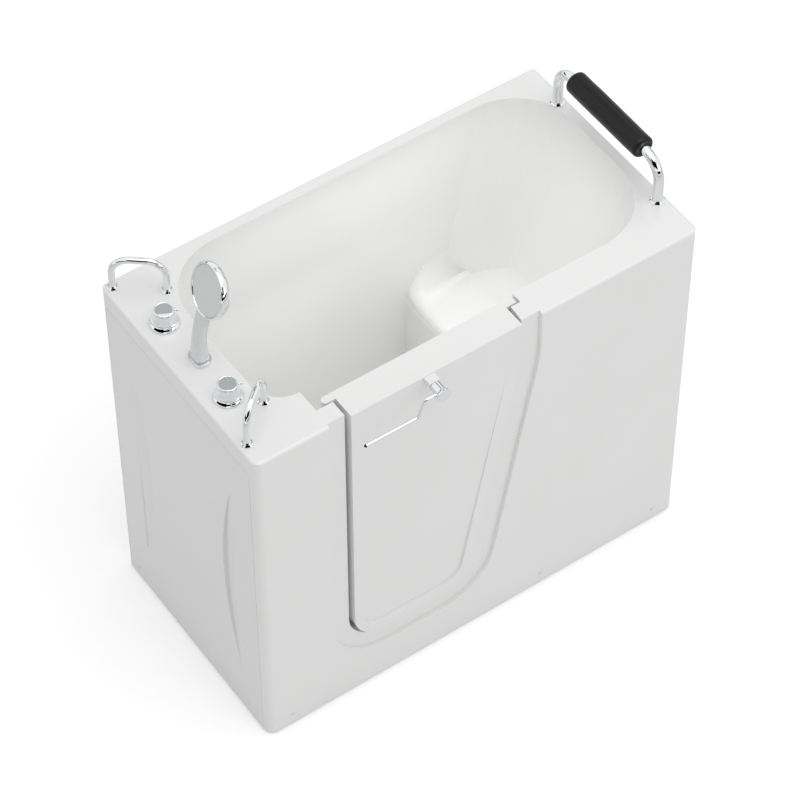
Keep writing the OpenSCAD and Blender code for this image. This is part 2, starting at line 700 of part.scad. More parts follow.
module tap_valves() color("goldenrod") for (y = [hot_y, cold_y]) translate([tap_x, y, 0]) {
    translate([0, 0, deck_under - 52]) cylinder(h = 52 + skin + bell_h - 2, r = 11);
    translate([0, 0, deck_under - 12]) cylinder(h = 12, r = 24, $fn = 6);
    translate([0, 0, deck_under - 62]) cylinder(h = 48, r = 15);
    translate([0, 0, deck_under - 86]) cylinder(h = 25, r = 10.4);
    translate([0, 0, deck_h + bell_h - 2]) cylinder(h = knob_h - 8, r = 5);
}
module tap_flanges() color("gainsboro") for (y = [hot_y, cold_y]) translate([tap_x, y, deck_h])
    rotate_extrude() difference() {
        polygon(concat([[0, 0], [bell_r, 0], [bell_r, 2]],
            [for (a = [0 : 15 : 90]) [knob_r + 1 + (bell_r - knob_r - 2) * (1 - sin(a)), 2 + (bell_h - 2) * (1 - cos(a)) ]],
            [[0, bell_h]]));
        translate([0, -1]) square([11.1, bell_h + 2]);
    }
module knob() difference() {
    union() {
        rotate_extrude() polygon(rounded([[0, 0], [knob_r, 0], [knob_r, knob_h], [0, knob_h]], [0, 2, 3, 0]));
        rotate([0, 0, -22]) translate([knob_r - 3, 0, knob_h - 8]) rotate([0, 90, 0]) cylinder(h = 8, r = 2.4);
        rotate([0, 0, -22]) translate([knob_r + 6, 0, knob_h - 8]) sphere(3.8, $fn = 32);
    }
    translate([0, 0, -1]) cylinder(h = knob_h - 6, r = 5 + run_gap);
    translate([0, 0, knob_h - 1.2]) cylinder(h = 3, r = knob_r - 4);
}
module hot_knob() color("gainsboro") translate([tap_x, hot_y, deck_h + bell_h + seat_gap]) knob();
module cold_knob() color("gainsboro") translate([tap_x, cold_y, deck_h + bell_h + seat_gap]) knob();

// ---- Hand shower ----

shower_x = tap_x + 7;
socket_r = 13;
socket_l = 44;
holder_h = 9;
head_n = [-cos(head_tilt), 0.08, sin(head_tilt)];
head_at = [shower_x + 37, shower_y, deck_h + head_h];
head_back = 14;
module shower_holder() color("gainsboro") translate([shower_x, shower_y, deck_h]) difference() {
    union() {
        slab_z(0, holder_h) polygon(rounded(rect(-21, -27.5, 21, 27.5), [for (i = [0 : 3]) 17]));
        translate([0, 0, -skin - 34]) cylinder(h = skin + 34.5, r = 18);
    }
    translate([0, 0, -skin - 32]) cylinder(h = 100, r = socket_r + 0.4);
    translate([0, 0, -skin - 40]) cylinder(h = 100, r = 8);
}
module shower_holder_nut() color("white") translate([shower_x, shower_y, deck_under - 10]) difference() {
    cylinder(h = 10, r = 27, $fn = 6);
    translate([0, 0, -1]) cylinder(h = 12, r = 18 + run_gap);
}

// Handle: elliptical rings along a curve that leans into the head
handle_rings = 14;
handle_l = 150;
handle_reach = 24;
function handle_mid(t) = [shower_x + handle_reach * pow(t, 2.6), shower_y, deck_h + holder_h + seat_gap + t * handle_l];
function handle_w(t) = 25 - 4 * sin(180 * t) - 2 * t;
function handle_d(t) = 18.5 - 2.2 * sin(180 * t) - 7 * t;
function handle_lean(t) = atan2(handle_reach * 2.6 * pow(t, 1.6), handle_l);
sides = 28;
module handle() {
    pts = [for (i = [0 : handle_rings], s = [0 : sides - 1]) let (t = i / handle_rings, a = 360 * s / sides,
        u = handle_d(t) * cos(a)) handle_mid(t) + [u * cos(handle_lean(t)), handle_w(t) * sin(a), -u * sin(handle_lean(t))]];
    caps = [[for (s = [0 : sides - 1]) s], [for (s = [sides - 1 : -1 : 0]) handle_rings * sides + s]];
    quads = [for (i = [0 : handle_rings - 1], s = [0 : sides - 1])
        let (n = (s + 1) % sides) [i * sides + s, (i + 1) * sides + s, (i + 1) * sides + n, i * sides + n]];
    polyhedron(pts, concat(caps, quads));
}
module shower_body() color("whitesmoke") difference() {
    union() {
        handle();
        translate([shower_x, shower_y, deck_h - socket_l + holder_h]) cylinder(h = socket_l + 4, r = socket_r);
        aim(head_at, head_n, [0, 0, 1]) rotate_extrude($fn = 96) polygon(rounded([[0, -head_back], [head_d / 2 - 7, -head_back],
            [head_d / 2, -4], [head_d / 2, 5], [head_d / 2 - 5, 9], [0, 9]], [0, 8, 5, 3, 3, 0]));
    }
    aim(head_at, head_n, [0, 0, 1]) {
        translate([0, 0, 7]) cylinder(h = 20, r = head_d / 2 - disc_rim, $fn = 96);
        translate([0, 0, -head_back - 28]) cylinder(h = 30, r = head_d / 2 - spray_rim, $fn = 96);
    }
}
module shower_back_disc() color("lightgray") aim(head_at, head_n, [0, 0, 1])
    rotate_extrude($fn = 96) polygon([[0, 7], [disc_r, 7], [disc_r, 8.5], [0, 9.6]]);
disc_r = head_d / 2 - disc_rim - seat_gap;
module shower_spray_plate() color("gray") aim(head_at, head_n, [0, 0, 1]) {
    translate([0, 0, -head_back]) cylinder(h = 2, r = head_d / 2 - spray_rim - seat_gap, $fn = 96);
    for (ring = [1 : 4]) for (k = [0 : ring * 6 - 1]) rotate([0, 0, k * 60 / ring])
        translate([ring * 12, 0, -head_back - 1.5]) cylinder(h = 2, r = 1.4, $fn = 14);
}

// ---- Hinges ----

module hinge_brackets() color("silver") for (z = hinge_zs) translate([0, 0, z]) difference() {
    union() {
        translate([hinge_x, hinge_y, -ring_h / 2]) cylinder(h = ring_h, r = knuckle_r - 1);
        translate([notch_x, hinge_y - 4, -ring_h / 2]) cube([hinge_x - notch_x - 2, 8, ring_h]);
        slab_x(notch_x, notch_x + leaf_t)
            polygon(rounded(rect(leaf_y, -leaf_h / 2, leaf_y + leaf_w, leaf_h / 2), [for (i = [0 : 3]) 5]));
    }
    translate([hinge_x, hinge_y, -ring_h]) cylinder(h = 2 * ring_h, r = pin_r + run_gap);
    translate([0, 0, -z]) hinge_screw_places() cylinder(h = 20, r = 2.1, $fn = 24);
}
leaf_y = hinge_y - knuckle_r;
leaf_screw_y = leaf_y + leaf_w - leaf_screw_across - 8;
module hinge_screw_places() for (z = hinge_zs, dz = [-0.5, 0.5] * leaf_screw_up, dy = [0, leaf_screw_across])
    translate([notch_x + leaf_t + face_gap, leaf_screw_y + dy, z + dz]) rotate([0, -90, 0]) children();
module hinge_screws() color("silver") hinge_screw_places() translate([0, 0, face_gap]) screw(4, 1.6, 2, 14);
module hinge_pins() color("silver") for (z = hinge_zs)
    translate([hinge_x, hinge_y, z - pin_l / 2]) cylinder(h = pin_l, r = pin_r);

// ---- Door ----

module door_outer_shell() color("white") difference() {
    union() {
        slab_y(y_front, flange_y) polygon(door_outline(0, 0, deck_h));
        translate([latch_x, y_front + 1, latch_z]) rotate([90, 0, 0]) cylinder(h = nose_l + 1, r = nose_r);
        translate([latch_x - nose_r, barrel_y, latch_z]) cube([2 * nose_r, nose_l + 1, deck_h - latch_z - 4]);
    }
    slab_y(y_front + panel_d + door_wall, flange_y + 1)
        polygon(door_outline(-door_wall, -door_wall, deck_h - door_wall));
    difference() {
        slab_y(y_front + door_wall, flange_y) polygon(door_outline(-door_wall, -door_wall, deck_h - door_wall));
        slab_y(y_front, flange_y + 1) polygon(panel_outline(door_wall, panel_top + door_wall));
    }
    sunk_panel();
    translate([latch_x, y_front + 20, latch_z]) rotate([90, 0, 0]) cylinder(h = 60, r = bush_r + press_gap);
    translate([latch_x, pinion_y - bolt_s / 2 - 0.3, bolt_top - bolt_s - 0.3])
        cube([door_w, bolt_s + 0.6, bolt_s + 0.6]);
}
nose_r = 14;
bush_r = spindle_r + 2.5;
function panel_outline(g, top) = door_outline(g - border_w, g - border_w + 10, top);
panel_tilt = atan(panel_d / (panel_top - door_low));
module sunk_panel() translate([0, y_front, panel_top]) rotate([panel_tilt, 0, 0])
    translate([0, 0, -panel_top]) slab_y(-30, 0) polygon(panel_outline(0, panel_top));

module door_inner_shell() color("white") difference() {
    union() {
        intersection() {
            slab_y(flange_y, flange_back) polygon(door_outline(flange_w, hinge_edge(hinge_x), deck_h));
        }
        translate([hinge_x, hinge_y, door_low + door_r]) cylinder(h = deck_h - door_low - door_r, r = knuckle_r);
    }
    slab_y(flange_y - 1, flange_back - 6) polygon(door_outline(-door_wall - 4, -door_wall - 4, deck_h - 12));
    for (z = hinge_zs) {
        translate([hinge_x - 15, hinge_y - 15, z - ring_h / 2 - 1]) cube([30, 30, ring_h + 2]);
        translate([hinge_x, hinge_y, z - pin_l / 2 - 1]) cylinder(h = pin_l + 2, r = pin_r + press_gap);
    }
}
module door_gasket() color("dimgray") difference() {
    slab_y(jamb_y + seat_gap, flange_y) polygon(door_outline(flange_w - 4, hinge_edge(hinge_x + 1), deck_h - 6));
    slab_y(jamb_y - 1, flange_y + 1) polygon(door_outline(gap_hinge + 4, gap_hinge + 0.5, deck_h));
}

// ---- Latch ----

latch_front = y_front + door_wall;
module latch_bush() color("silver") translate([latch_x, latch_front, latch_z]) rotate([90, 0, 0])
    difference() {
        cylinder(h = nose_l + door_wall, r = bush_r);
        translate([0, 0, -1]) cylinder(h = nose_l + 40, r = spindle_r + run_gap);
    }
spindle_back = pinion_y + pinion_w / 2 + 8;
module latch_spindle() color("silver") translate([latch_x, spindle_back, latch_z]) rotate([90, 0, 0])
    cylinder(h = spindle_back - (barrel_y - barrel_l * 0.8), r = spindle_r);

// Half-tooth outline of an involute flank, as points from root to tip
function involute(base, a) = base * [cos(a) + a * PI / 180 * sin(a), sin(a) - a * PI / 180 * cos(a)];
function roll(base, r) = r <= base ? 0 : sqrt(pow(r / base, 2) - 1) * 180 / PI;
function spin2(p, a) = [p.x * cos(a) - p.y * sin(a), p.x * sin(a) + p.y * cos(a)];
pressure = 20;
base_r = pinion_r * cos(pressure);
tip_r = pinion_r + 0.9 * tooth_m;
root_r = pinion_r - 1.2 * tooth_m;
backlash = 0.12;
inv_pitch = tan(pressure) * 180 / PI - pressure;
half_tooth = 90 / pinion_teeth - backlash / pinion_r * 90 / PI;
flank = [for (k = [0 : 4]) let (r = base_r + (tip_r - base_r) * k / 4)
    spin2(involute(base_r, roll(base_r, r)), -half_tooth - inv_pitch)];
function tooth(a) = concat([spin2([root_r, 0], a - half_tooth - inv_pitch)], [for (p = flank) spin2(p, a)],
    [for (k = [4 : -1 : 0]) spin2([flank[k].x, -flank[k].y], a)], [spin2([root_r, 0], a + half_tooth + inv_pitch)]);
tooth_step = 360 / pinion_teeth;
spare = 2;      // teeth beyond each end of the quarter turn
module latch_sector() color("silver") difference() {
    translate([latch_x, pinion_y + pinion_w / 2, latch_z]) rotate([90, 0, 0]) linear_extrude(pinion_w) union() {
        circle(spindle_r + 3);
        polygon(concat([[0, 0]], [for (i = [-ceil(pinion_teeth / 4) - spare : spare]) each tooth(-90 + i * tooth_step)]));
    }
    translate([latch_x, pinion_y + 20, latch_z]) rotate([90, 0, 0]) cylinder(h = 40, r = spindle_r + press_gap);
}
pitch = PI * tooth_m;
bolt_rest_x = door_x1 - 2;
module latch_bolt() color("silver") {
    add = 0.9 * tooth_m;
    ded = 1.25 * tooth_m;
    half = pitch / 4 - backlash / 4;
    slab_y(pinion_y - bolt_s / 2, pinion_y + bolt_s / 2) union() {
        polygon(rect(latch_x - 40, bolt_top - bolt_s, bolt_rest_x, bolt_top));
        for (i = [-ceil(bolt_travel / pitch) - 2 : 2]) {
            c = latch_x + (i - 0.5) * pitch;
            polygon([[c - half - tan(pressure) * ded, bolt_top - eps], [c + half + tan(pressure) * ded, bolt_top - eps],
                [c + half - tan(pressure) * add, bolt_top + ded + add],
                [c - half + tan(pressure) * add, bolt_top + ded + add]]);
        }
    }
}
module latch_carrier() color("silver") translate([latch_x, 0, 0]) {
    back_y = pinion_y + pinion_w / 2 + 3;
    y0 = latch_front;
    difference() {
        union() {
            translate([-34, back_y, bolt_top - bolt_s - 5]) cube([68, 3, latch_z + 7 - bolt_top + bolt_s + 5]);
            for (x = [-34, 31]) translate([x, y0, bolt_top - bolt_s - 5])
                cube([3, back_y - y0 + 1, bolt_s + 2 * tooth_m + 9]);
        }
        translate([0, back_y + 10, latch_z]) rotate([90, 0, 0]) cylinder(h = 20, r = spindle_r + run_gap);
        translate([-50, pinion_y - bolt_s / 2 - 0.15, bolt_top - bolt_s - 0.15])
            cube([100, bolt_s + 0.3, bolt_s + 2.15 * tooth_m + 0.3]);
    }
}
module latch_guide() color("white") difference() {
    y0 = latch_front;
    translate([door_x1 - 60, y0, bolt_top - bolt_s - 6]) cube([16, pinion_y + bolt_s / 2 + 6 - y0, bolt_s + 12]);
    translate([door_x1 - 70, pinion_y - bolt_s / 2 - 0.15, bolt_top - bolt_s - 0.15])
        cube([40, bolt_s + 0.3, bolt_s + 0.3]);
}
keeper_x = hinge_x + sqrt(pow(door_x1 - hinge_x + swing_over + gap_swing, 2) - pow(pinion_y - hinge_y, 2)) + 1;
keeper_r = 10;
keeper_l = 30;
module latch_keeper() color("silver") translate([keeper_x + 1, pinion_y, bolt_top - bolt_s / 2]) rotate([0, 90, 0])
    difference() {
        cylinder(h = keeper_l, r = keeper_r);
        translate([0, 0, -1]) cylinder(h = keeper_l - 3, r = keeper_r - 2.4);
    }

module lever_barrel() color("gainsboro") difference() {
    translate([latch_x, barrel_y - seat_gap, latch_z]) rotate([90, 0, 0]) rotate_extrude()
        polygon(rounded([[0, 0], [barrel_r, 0], [barrel_r, barrel_l - 11], [barrel_end_r, barrel_l - 4],
            [barrel_end_r, barrel_l - 1], [barrel_end_r - 5, barrel_l], [0, barrel_l]],
            [0, 1, 0, 1.5, 0, 0, 0]));
    translate([latch_x, y_front, latch_z]) rotate([90, 0, 0])
        cylinder(h = y_front - (barrel_y - barrel_l * 0.8) + 0.1, r = spindle_r + press_gap);
    translate([latch_x, rod_y, latch_z]) rotate([0, -90, 0]) cylinder(h = 40, r = rod_r + press_gap);
}
module lever_rod() color("gainsboro") {
    a = [latch_x - spindle_r - 0.5, rod_y, latch_z];
    b = [latch_x - rod_out, rod_y, latch_z];
    c = b + [-rod_crank, 0, -rod_drop];
    bent_bar([a, b, c, c - [rod_grip, 0, 0]], rod_r, 9);
}
module lever_tip() color("dimgray") translate([latch_x - rod_out - rod_crank - rod_grip, rod_y, latch_z - rod_drop])
    rotate([0, -90, 0]) cylinder(h = 4, r1 = rod_r, r2 = rod_r - 1);

// ---- Waste and overflow ----

module drain_body() color("silver") translate([drain_x, drain_y, 0]) difference() {
    union() {
        translate([0, 0, well_h]) cylinder(h = 3, r = 34);
        translate([0, 0, tail_low]) cylinder(h = tail_l + 1, r = tail_r);
        translate([0, 0, tail_low + tail_l]) cylinder(h = well_h - tail_low - tail_l + 1, r = tee_r);
        translate([0, 0, pipe_z]) rotate([0, -90, 0]) cylinder(h = 44, r = pipe_r + 3);
    }
    translate([0, 0, tail_low - 1]) cylinder(h = well_h, r = tail_r - 2);
    translate([0, 0, pipe_z]) rotate([0, -90, 0]) cylinder(h = 50, r = pipe_r - 2);
    translate([-26, 0, pipe_z]) rotate([0, -90, 0]) cylinder(h = 50, r = pipe_r + run_gap);
}
module drain_cross() color("silver") translate([drain_x, drain_y, well_h - 12]) difference() {
    union() {
        for (a = [0, 90]) rotate([0, 0, a]) translate([-tail_r + 2.1, -1.5, 0]) cube([2 * tail_r - 4.2, 3, 4]);
        cylinder(h = 4, r = plug_stem_r + 3);
    }
    translate([0, 0, -1]) cylinder(h = 6, r = plug_stem_r + run_gap);
}
plug_stem_r = 3;
pipe_r = 16;
pipe_z = 76;
tail_low = frame_z + 4;
module drain_nut() color("white") translate([drain_x, drain_y, well_under - 7]) difference() {
    cylinder(h = 7, r = 33, $fn = 6);
    translate([0, 0, -1]) cylinder(h = 12, r = tee_r + run_gap);
}
module drain_plug() color("gainsboro") translate([drain_x, drain_y, well_h + 3 + seat_gap]) {
    rotate_extrude() polygon([[0, 0], [24, 0], [24, 1.5], [20, 4], [0, 5.5]]);
    translate([0, 0, -30]) cylinder(h = 31, r = plug_stem_r);
}

overflow_lean = atan(end_lean / (deck_h - well_h));
module overflow_place() translate([basin_x0 + (deck_h - overflow_z) * tan(overflow_lean), drain_y, overflow_z])
    rotate([0, 90 - overflow_lean, 0]) children();
face_gap = 0.1; // clearance under a clamped disc on the leaning wall
module overflow_cover() color("gainsboro") overflow_place() translate([0, 0, face_gap]) difference() {
    rotate_extrude() polygon(rounded([[0, 0], [35, 0], [35, 10], [0, 12]], [0, 0, 4, 0]));
    translate([0, 0, -1]) cylinder(h = 7, r = 24);
    for (a = [60 : 20 : 120]) rotate([0, 0, a]) translate([30, 0, 4]) rotate([0, 90, 0]) cylinder(h = 10, r = 2.5);
}
elbow_x = basin_x0 - 36;
module overflow_elbow() color("white") difference() {
    union() {
        overflow_place() translate([0, 0, -skin - face_gap - 5]) cylinder(h = skin + 5 + 4, r = 20);
        overflow_place() translate([0, 0, -skin - face_gap - 5]) cylinder(h = 5, r = 30);
        translate([elbow_x, drain_y, overflow_z]) rotate([0, 90, 0]) cylinder(h = 28, r = 20);
        translate([elbow_x, drain_y, overflow_z - 50]) cylinder(h = 70, r = 20);
    }
    overflow_place() translate([0, 0, -22]) cylinder(h = 40, r = 16);
    translate([elbow_x, drain_y, overflow_z - 51]) cylinder(h = 26, r = pipe_r + run_gap);
    translate([elbow_x, drain_y, overflow_z - 51]) cylinder(h = 66, r = 14);
}
module overflow_pipe() color("white") difference() {
    top = [elbow_x, drain_y, overflow_z - 26];
    low = [elbow_x, drain_y, pipe_z];
    end = [drain_x - 27, drain_y, pipe_z];
    bent_bar([top, low, end], pipe_r, 45);
    bent_bar([top + [0, 0, 1], low, end + [1, 0, 0]], pipe_r - 2, 45);
}

tub_shell();
end_panel_left();
end_panel_right();
frame_long_rails();
frame_cross_rails();
frame_bearers();
frame_posts();
seat_posts();
seat_rail();
foot_plates();
foot_studs();
foot_nuts();
foot_pads();
skirt_screws();
grab_bar_rear();
grab_bar_front();
grab_bar_flanges();
grab_bar_nuts();
pillow_bar();
pillow_bar_flanges();
pillow_bar_nuts();
pillow_sleeve();
tap_valves();
tap_flanges();
hot_knob();
cold_knob();
shower_holder();
shower_holder_nut();
shower_body();
shower_back_disc();
shower_spray_plate();
hinge_brackets();
hinge_screws();
hinge_pins();
door_outer_shell();
door_inner_shell();
door_gasket();
latch_bush();
latch_carrier();
latch_guide();
latch_spindle();
latch_sector();
latch_bolt();
latch_keeper();
lever_barrel();
lever_rod();
lever_tip();
drain_body();
drain_cross();
drain_nut();
drain_plug();
overflow_cover();
overflow_elbow();
overflow_pipe();
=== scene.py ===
"""A walk-in bathtub with a door: its looks, piece by piece in the order in which it is put together."""
from math import cos, pi, radians, sin

import bmesh
import bpy
from mathutils import Matrix, Vector, noise


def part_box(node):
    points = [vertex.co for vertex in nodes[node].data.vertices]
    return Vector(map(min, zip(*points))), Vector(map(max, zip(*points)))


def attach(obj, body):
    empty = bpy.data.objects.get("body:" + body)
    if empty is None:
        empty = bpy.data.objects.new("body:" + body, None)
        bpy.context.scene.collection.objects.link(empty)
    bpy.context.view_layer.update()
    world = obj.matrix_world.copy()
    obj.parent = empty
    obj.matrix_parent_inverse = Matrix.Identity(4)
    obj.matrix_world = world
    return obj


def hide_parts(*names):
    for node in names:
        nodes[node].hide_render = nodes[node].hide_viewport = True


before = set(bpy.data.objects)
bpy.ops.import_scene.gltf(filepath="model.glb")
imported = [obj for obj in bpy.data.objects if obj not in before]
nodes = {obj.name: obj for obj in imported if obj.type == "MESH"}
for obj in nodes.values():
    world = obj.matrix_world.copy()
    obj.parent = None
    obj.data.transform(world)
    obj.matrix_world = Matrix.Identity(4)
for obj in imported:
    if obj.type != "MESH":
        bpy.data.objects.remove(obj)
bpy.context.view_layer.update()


# ---- Support frame ----
# Square stainless tube, 25 mm, welded into a cradle that carries the tub above the floor.
# The tube is ground along its length before it is cut, which leaves fine lines that way.

def linear(hex_colour):
    """An sRGB hex colour as the linear colour that a shader's socket takes."""
    values = [int(hex_colour[i:i + 2], 16) / 255 for i in (1, 3, 5)]
    return [v / 12.92 if v <= 0.04045 else ((v + 0.055) / 1.055) ** 2.4 for v in values] + [1]


def new_material(name):
    """An empty material that waits for its nodes."""
    material = bpy.data.materials.new(name)
    material.use_nodes = True
    material.node_tree.nodes.clear()
    return material


def add(owner, kind, settings, links=None):
    """Adds a node to a material or a world: settings fill its inputs or options, links feed its inputs."""
    node = owner.node_tree.nodes.new(kind)
    for name, value in settings.items():
        if name in node.inputs:
            node.inputs[name].default_value = value
        else:
            setattr(node, name, value)
    for name, output in (links or {}).items():
        owner.node_tree.links.new(output, node.inputs[name])
    return node


def dress(node_name, material):
    """Gives a CAD node its finish."""
    node = nodes[node_name]
    node.data.materials.clear()
    node.data.materials.append(material)


# Ground stainless steel: a grey metal whose gloss is drawn out along the grinding lines.
# Real lines are 0.1 mm apart. These are 1.2 mm, the finest that the render shows, and 60 mm long.
LINE_MM = 1.2
ALONG = 0.02
for direction, stretch, tubes in (
        ("lengthwise", (ALONG, 1, 1), ("frame_long_rails", "frame_bearers")),
        ("crosswise", (1, ALONG, 1), ("frame_cross_rails", "seat_rail")),
        ("upright", (1, 1, ALONG), ("frame_posts", "seat_posts"))):
    tube = new_material("ground_stainless_" + direction)
    place = add(tube, "ShaderNodeTexCoord", {}).outputs["Object"]
    along = add(tube, "ShaderNodeMapping", {"Scale": stretch}, {"Vector": place}).outputs["Vector"]
    lines = add(tube, "ShaderNodeTexNoise", {"Scale": 1000 / LINE_MM, "Detail": 3.0},
                {"Vector": along}).outputs["Fac"]
    clouds = add(tube, "ShaderNodeTexNoise", {"Scale": 1000 / 45, "Detail": 2.0},
                 {"Vector": place}).outputs["Fac"]
    tint = add(tube, "ShaderNodeMixRGB", {"Color1": linear("#B2B4B7"), "Color2": linear("#C4C6C8")},
               {"Fac": clouds}).outputs["Color"]
    gloss = add(tube, "ShaderNodeMapRange",
                {"From Min": 0.3, "From Max": 0.7, "To Min": 0.24, "To Max": 0.44},
                {"Value": lines}).outputs["Result"]
    grooves = add(tube, "ShaderNodeBump", {"Strength": 0.5, "Distance": 0.00004},
                  {"Height": lines}).outputs["Normal"]
    shader = add(tube, "ShaderNodeBsdfPrincipled", {"Metallic": 1.0},
                 {"Base Color": tint, "Roughness": gloss, "Normal": grooves})
    add(tube, "ShaderNodeOutputMaterial", {}, {"Surface": shader.outputs["BSDF"]})
    for name in tubes:
        dress(name, tube)

# ---- Levelling feet ----
# Turned stainless studs with locknuts under welded plates, on pads of black rubber that
# are moulded with a fine spark grain, so they look dull and almost even.

# Turned stainless steel: bright. The tool's rings are too fine to show, so they only blur its
# gloss here and there, in specks of 3 mm.
turned = new_material("turned_stainless")
place = add(turned, "ShaderNodeTexCoord", {}).outputs["Object"]
specks = add(turned, "ShaderNodeTexNoise", {"Scale": 1000 / 3, "Detail": 3.0},
             {"Vector": place}).outputs["Fac"]
tint = add(turned, "ShaderNodeMixRGB", {"Color1": linear("#C2C4C6"), "Color2": linear("#D0D1D2")},
           {"Fac": specks}).outputs["Color"]
gloss = add(turned, "ShaderNodeMapRange",
            {"From Min": 0.3, "From Max": 0.7, "To Min": 0.18, "To Max": 0.3},
            {"Value": specks}).outputs["Result"]
shader = add(turned, "ShaderNodeBsdfPrincipled", {"Metallic": 1.0},
             {"Base Color": tint, "Roughness": gloss})
add(turned, "ShaderNodeOutputMaterial", {}, {"Surface": shader.outputs["BSDF"]})
dress("foot_plates", turned)
for name in ("foot_studs", "foot_nuts"):
    dress(name, turned)

# Moulded rubber: near black, matt, with a grain of 1.5 mm drawn four times coarser than real.
rubber = new_material("moulded_rubber")
place = add(rubber, "ShaderNodeTexCoord", {}).outputs["Object"]
grain = add(rubber, "ShaderNodeTexNoise", {"Scale": 1000 / 1.5, "Detail": 2.0},
            {"Vector": place}).outputs["Fac"]
dust = add(rubber, "ShaderNodeTexNoise", {"Scale": 1000 / 14, "Detail": 3.0},
           {"Vector": place}).outputs["Fac"]
tint = add(rubber, "ShaderNodeMixRGB", {"Color1": linear("#232324"), "Color2": linear("#303031")},
           {"Fac": dust}).outputs["Color"]
pits = add(rubber, "ShaderNodeBump", {"Strength": 0.4, "Distance": 0.0001},
           {"Height": grain}).outputs["Normal"]
shader = add(rubber, "ShaderNodeBsdfPrincipled", {"Roughness": 0.68, "IOR": 1.52},
             {"Base Color": tint, "Normal": pits})
add(rubber, "ShaderNodeOutputMaterial", {}, {"Surface": shader.outputs["BSDF"]})
dress("foot_pads", rubber)

# ---- Tub moulding ----
# One sheet of white acrylic, 6 mm thick, heated and drawn by vacuum over a mould: deck, skirt,
# basin, foot well, seat and backrest. The sheet can't make a sharp corner, so every edge is round.

def is_sharp(edge, least=28):
    """True where two faces meet at more than that angle, in degrees."""
    return len(edge.link_faces) == 2 and edge.calc_face_angle(0) > radians(least)


def middle(edge):
    """The point halfway along an edge."""
    return (edge.verts[0].co + edge.verts[1].co) / 2


def round_off(shape, edges, radius, segments):
    """Rounds the edges over and gives the faces that this makes."""
    return bmesh.ops.bevel(shape, geom=edges, offset=radius, affect="EDGES", segments=segments, profile=0.5,
                           material=-1, clamp_overlap=True)["faces"]


def smooth_piece(shape, name, material):
    """Ends a bmesh: its faces shade softly, and it becomes an object at the origin."""
    for face in shape.faces:
        face.smooth = True
    mesh = bpy.data.meshes.new(name)
    shape.to_mesh(mesh)
    shape.free()
    mesh.materials.append(material)
    piece = bpy.data.objects.new(name, mesh)
    bpy.context.collection.objects.link(piece)
    return piece


def soft_lean(loop, face, lean, new):
    """How a corner shades: on an untouched face as the moulding did, on a new one as its neighbours do."""
    if not face[new] and loop[lean].length > 0.5:
        return loop[lean].normalized()
    near = [l for l in loop.vert.link_loops if l.face.normal.dot(face.normal) > 0.6]
    kept = [l for l in near if not l.face[new] and l[lean].length > 0.5]
    if kept:
        return kept[0][lean].normalized()
    return sum((l.face.normal * l.face.calc_area() for l in near), Vector()).normalized()


def rolled_copy(node_name, piece_name, material, rolls, reshape=None):
    """A copy of a moulding with rolled edges: rolls gives each radius in metres and a test of an edge."""
    source = nodes[node_name].data
    shape = bmesh.new()
    shape.from_mesh(source)
    lean = shape.loops.layers.float_vector.new("lean")
    for face, polygon in zip(shape.faces, source.polygons):
        for loop, corner in zip(face.loops, polygon.loop_indices):
            loop[lean] = source.corner_normals[corner].vector
    bmesh.ops.remove_doubles(shape, verts=shape.verts, dist=2e-5)
    bmesh.ops.dissolve_limit(shape, angle_limit=radians(0.03), verts=shape.verts, edges=shape.edges)
    new = shape.faces.layers.int.new("new")
    if reshape:
        reshape(shape, new)
    for radius, chosen in rolls:
        edges = [e for e in shape.edges if is_sharp(e) and e.calc_length() > 1e-4 and chosen(e)]
        for face in round_off(shape, edges, radius, 4):
            face[new] = 1
    shape.normal_update()
    leans = [soft_lean(loop, face, lean, new) for face in shape.faces for loop in face.loops]
    piece = smooth_piece(shape, piece_name, material)
    piece.data.normals_split_custom_set(leans)
    return piece


# Vacuum-formed acrylic: clear gloss over pure white, with the slow waves of a sheet that was
# drawn hot, and a haze that differs a little from place to place where it has been wiped.
acrylic = new_material("vacuum_formed_acrylic")
place = add(acrylic, "ShaderNodeTexCoord", {}).outputs["Object"]
clouds = add(acrylic, "ShaderNodeTexNoise", {"Scale": 1000 / 240, "Detail": 2.0},
             {"Vector": place}).outputs["Fac"]
tint = add(acrylic, "ShaderNodeMixRGB", {"Color1": linear("#F3F3F2"), "Color2": linear("#F6F6F6")},
           {"Fac": clouds}).outputs["Color"]
haze = add(acrylic, "ShaderNodeTexNoise", {"Scale": 1000 / 90, "Detail": 2.0},
           {"Vector": place}).outputs["Fac"]
gloss = add(acrylic, "ShaderNodeMapRange",
            {"From Min": 0.3, "From Max": 0.7, "To Min": 0.12, "To Max": 0.2},
            {"Value": haze}).outputs["Result"]
wave = add(acrylic, "ShaderNodeTexNoise", {"Scale": 1000 / 70, "Detail": 1.0},
           {"Vector": place}).outputs["Fac"]
drawn = add(acrylic, "ShaderNodeBump", {"Strength": 0.3, "Distance": 0.0002},
            {"Height": wave}).outputs["Normal"]
shader = add(acrylic, "ShaderNodeBsdfPrincipled", {"IOR": 1.49},
             {"Base Color": tint, "Roughness": gloss, "Normal": drawn})
add(acrylic, "ShaderNodeOutputMaterial", {}, {"Surface": shader.outputs["BSDF"]})

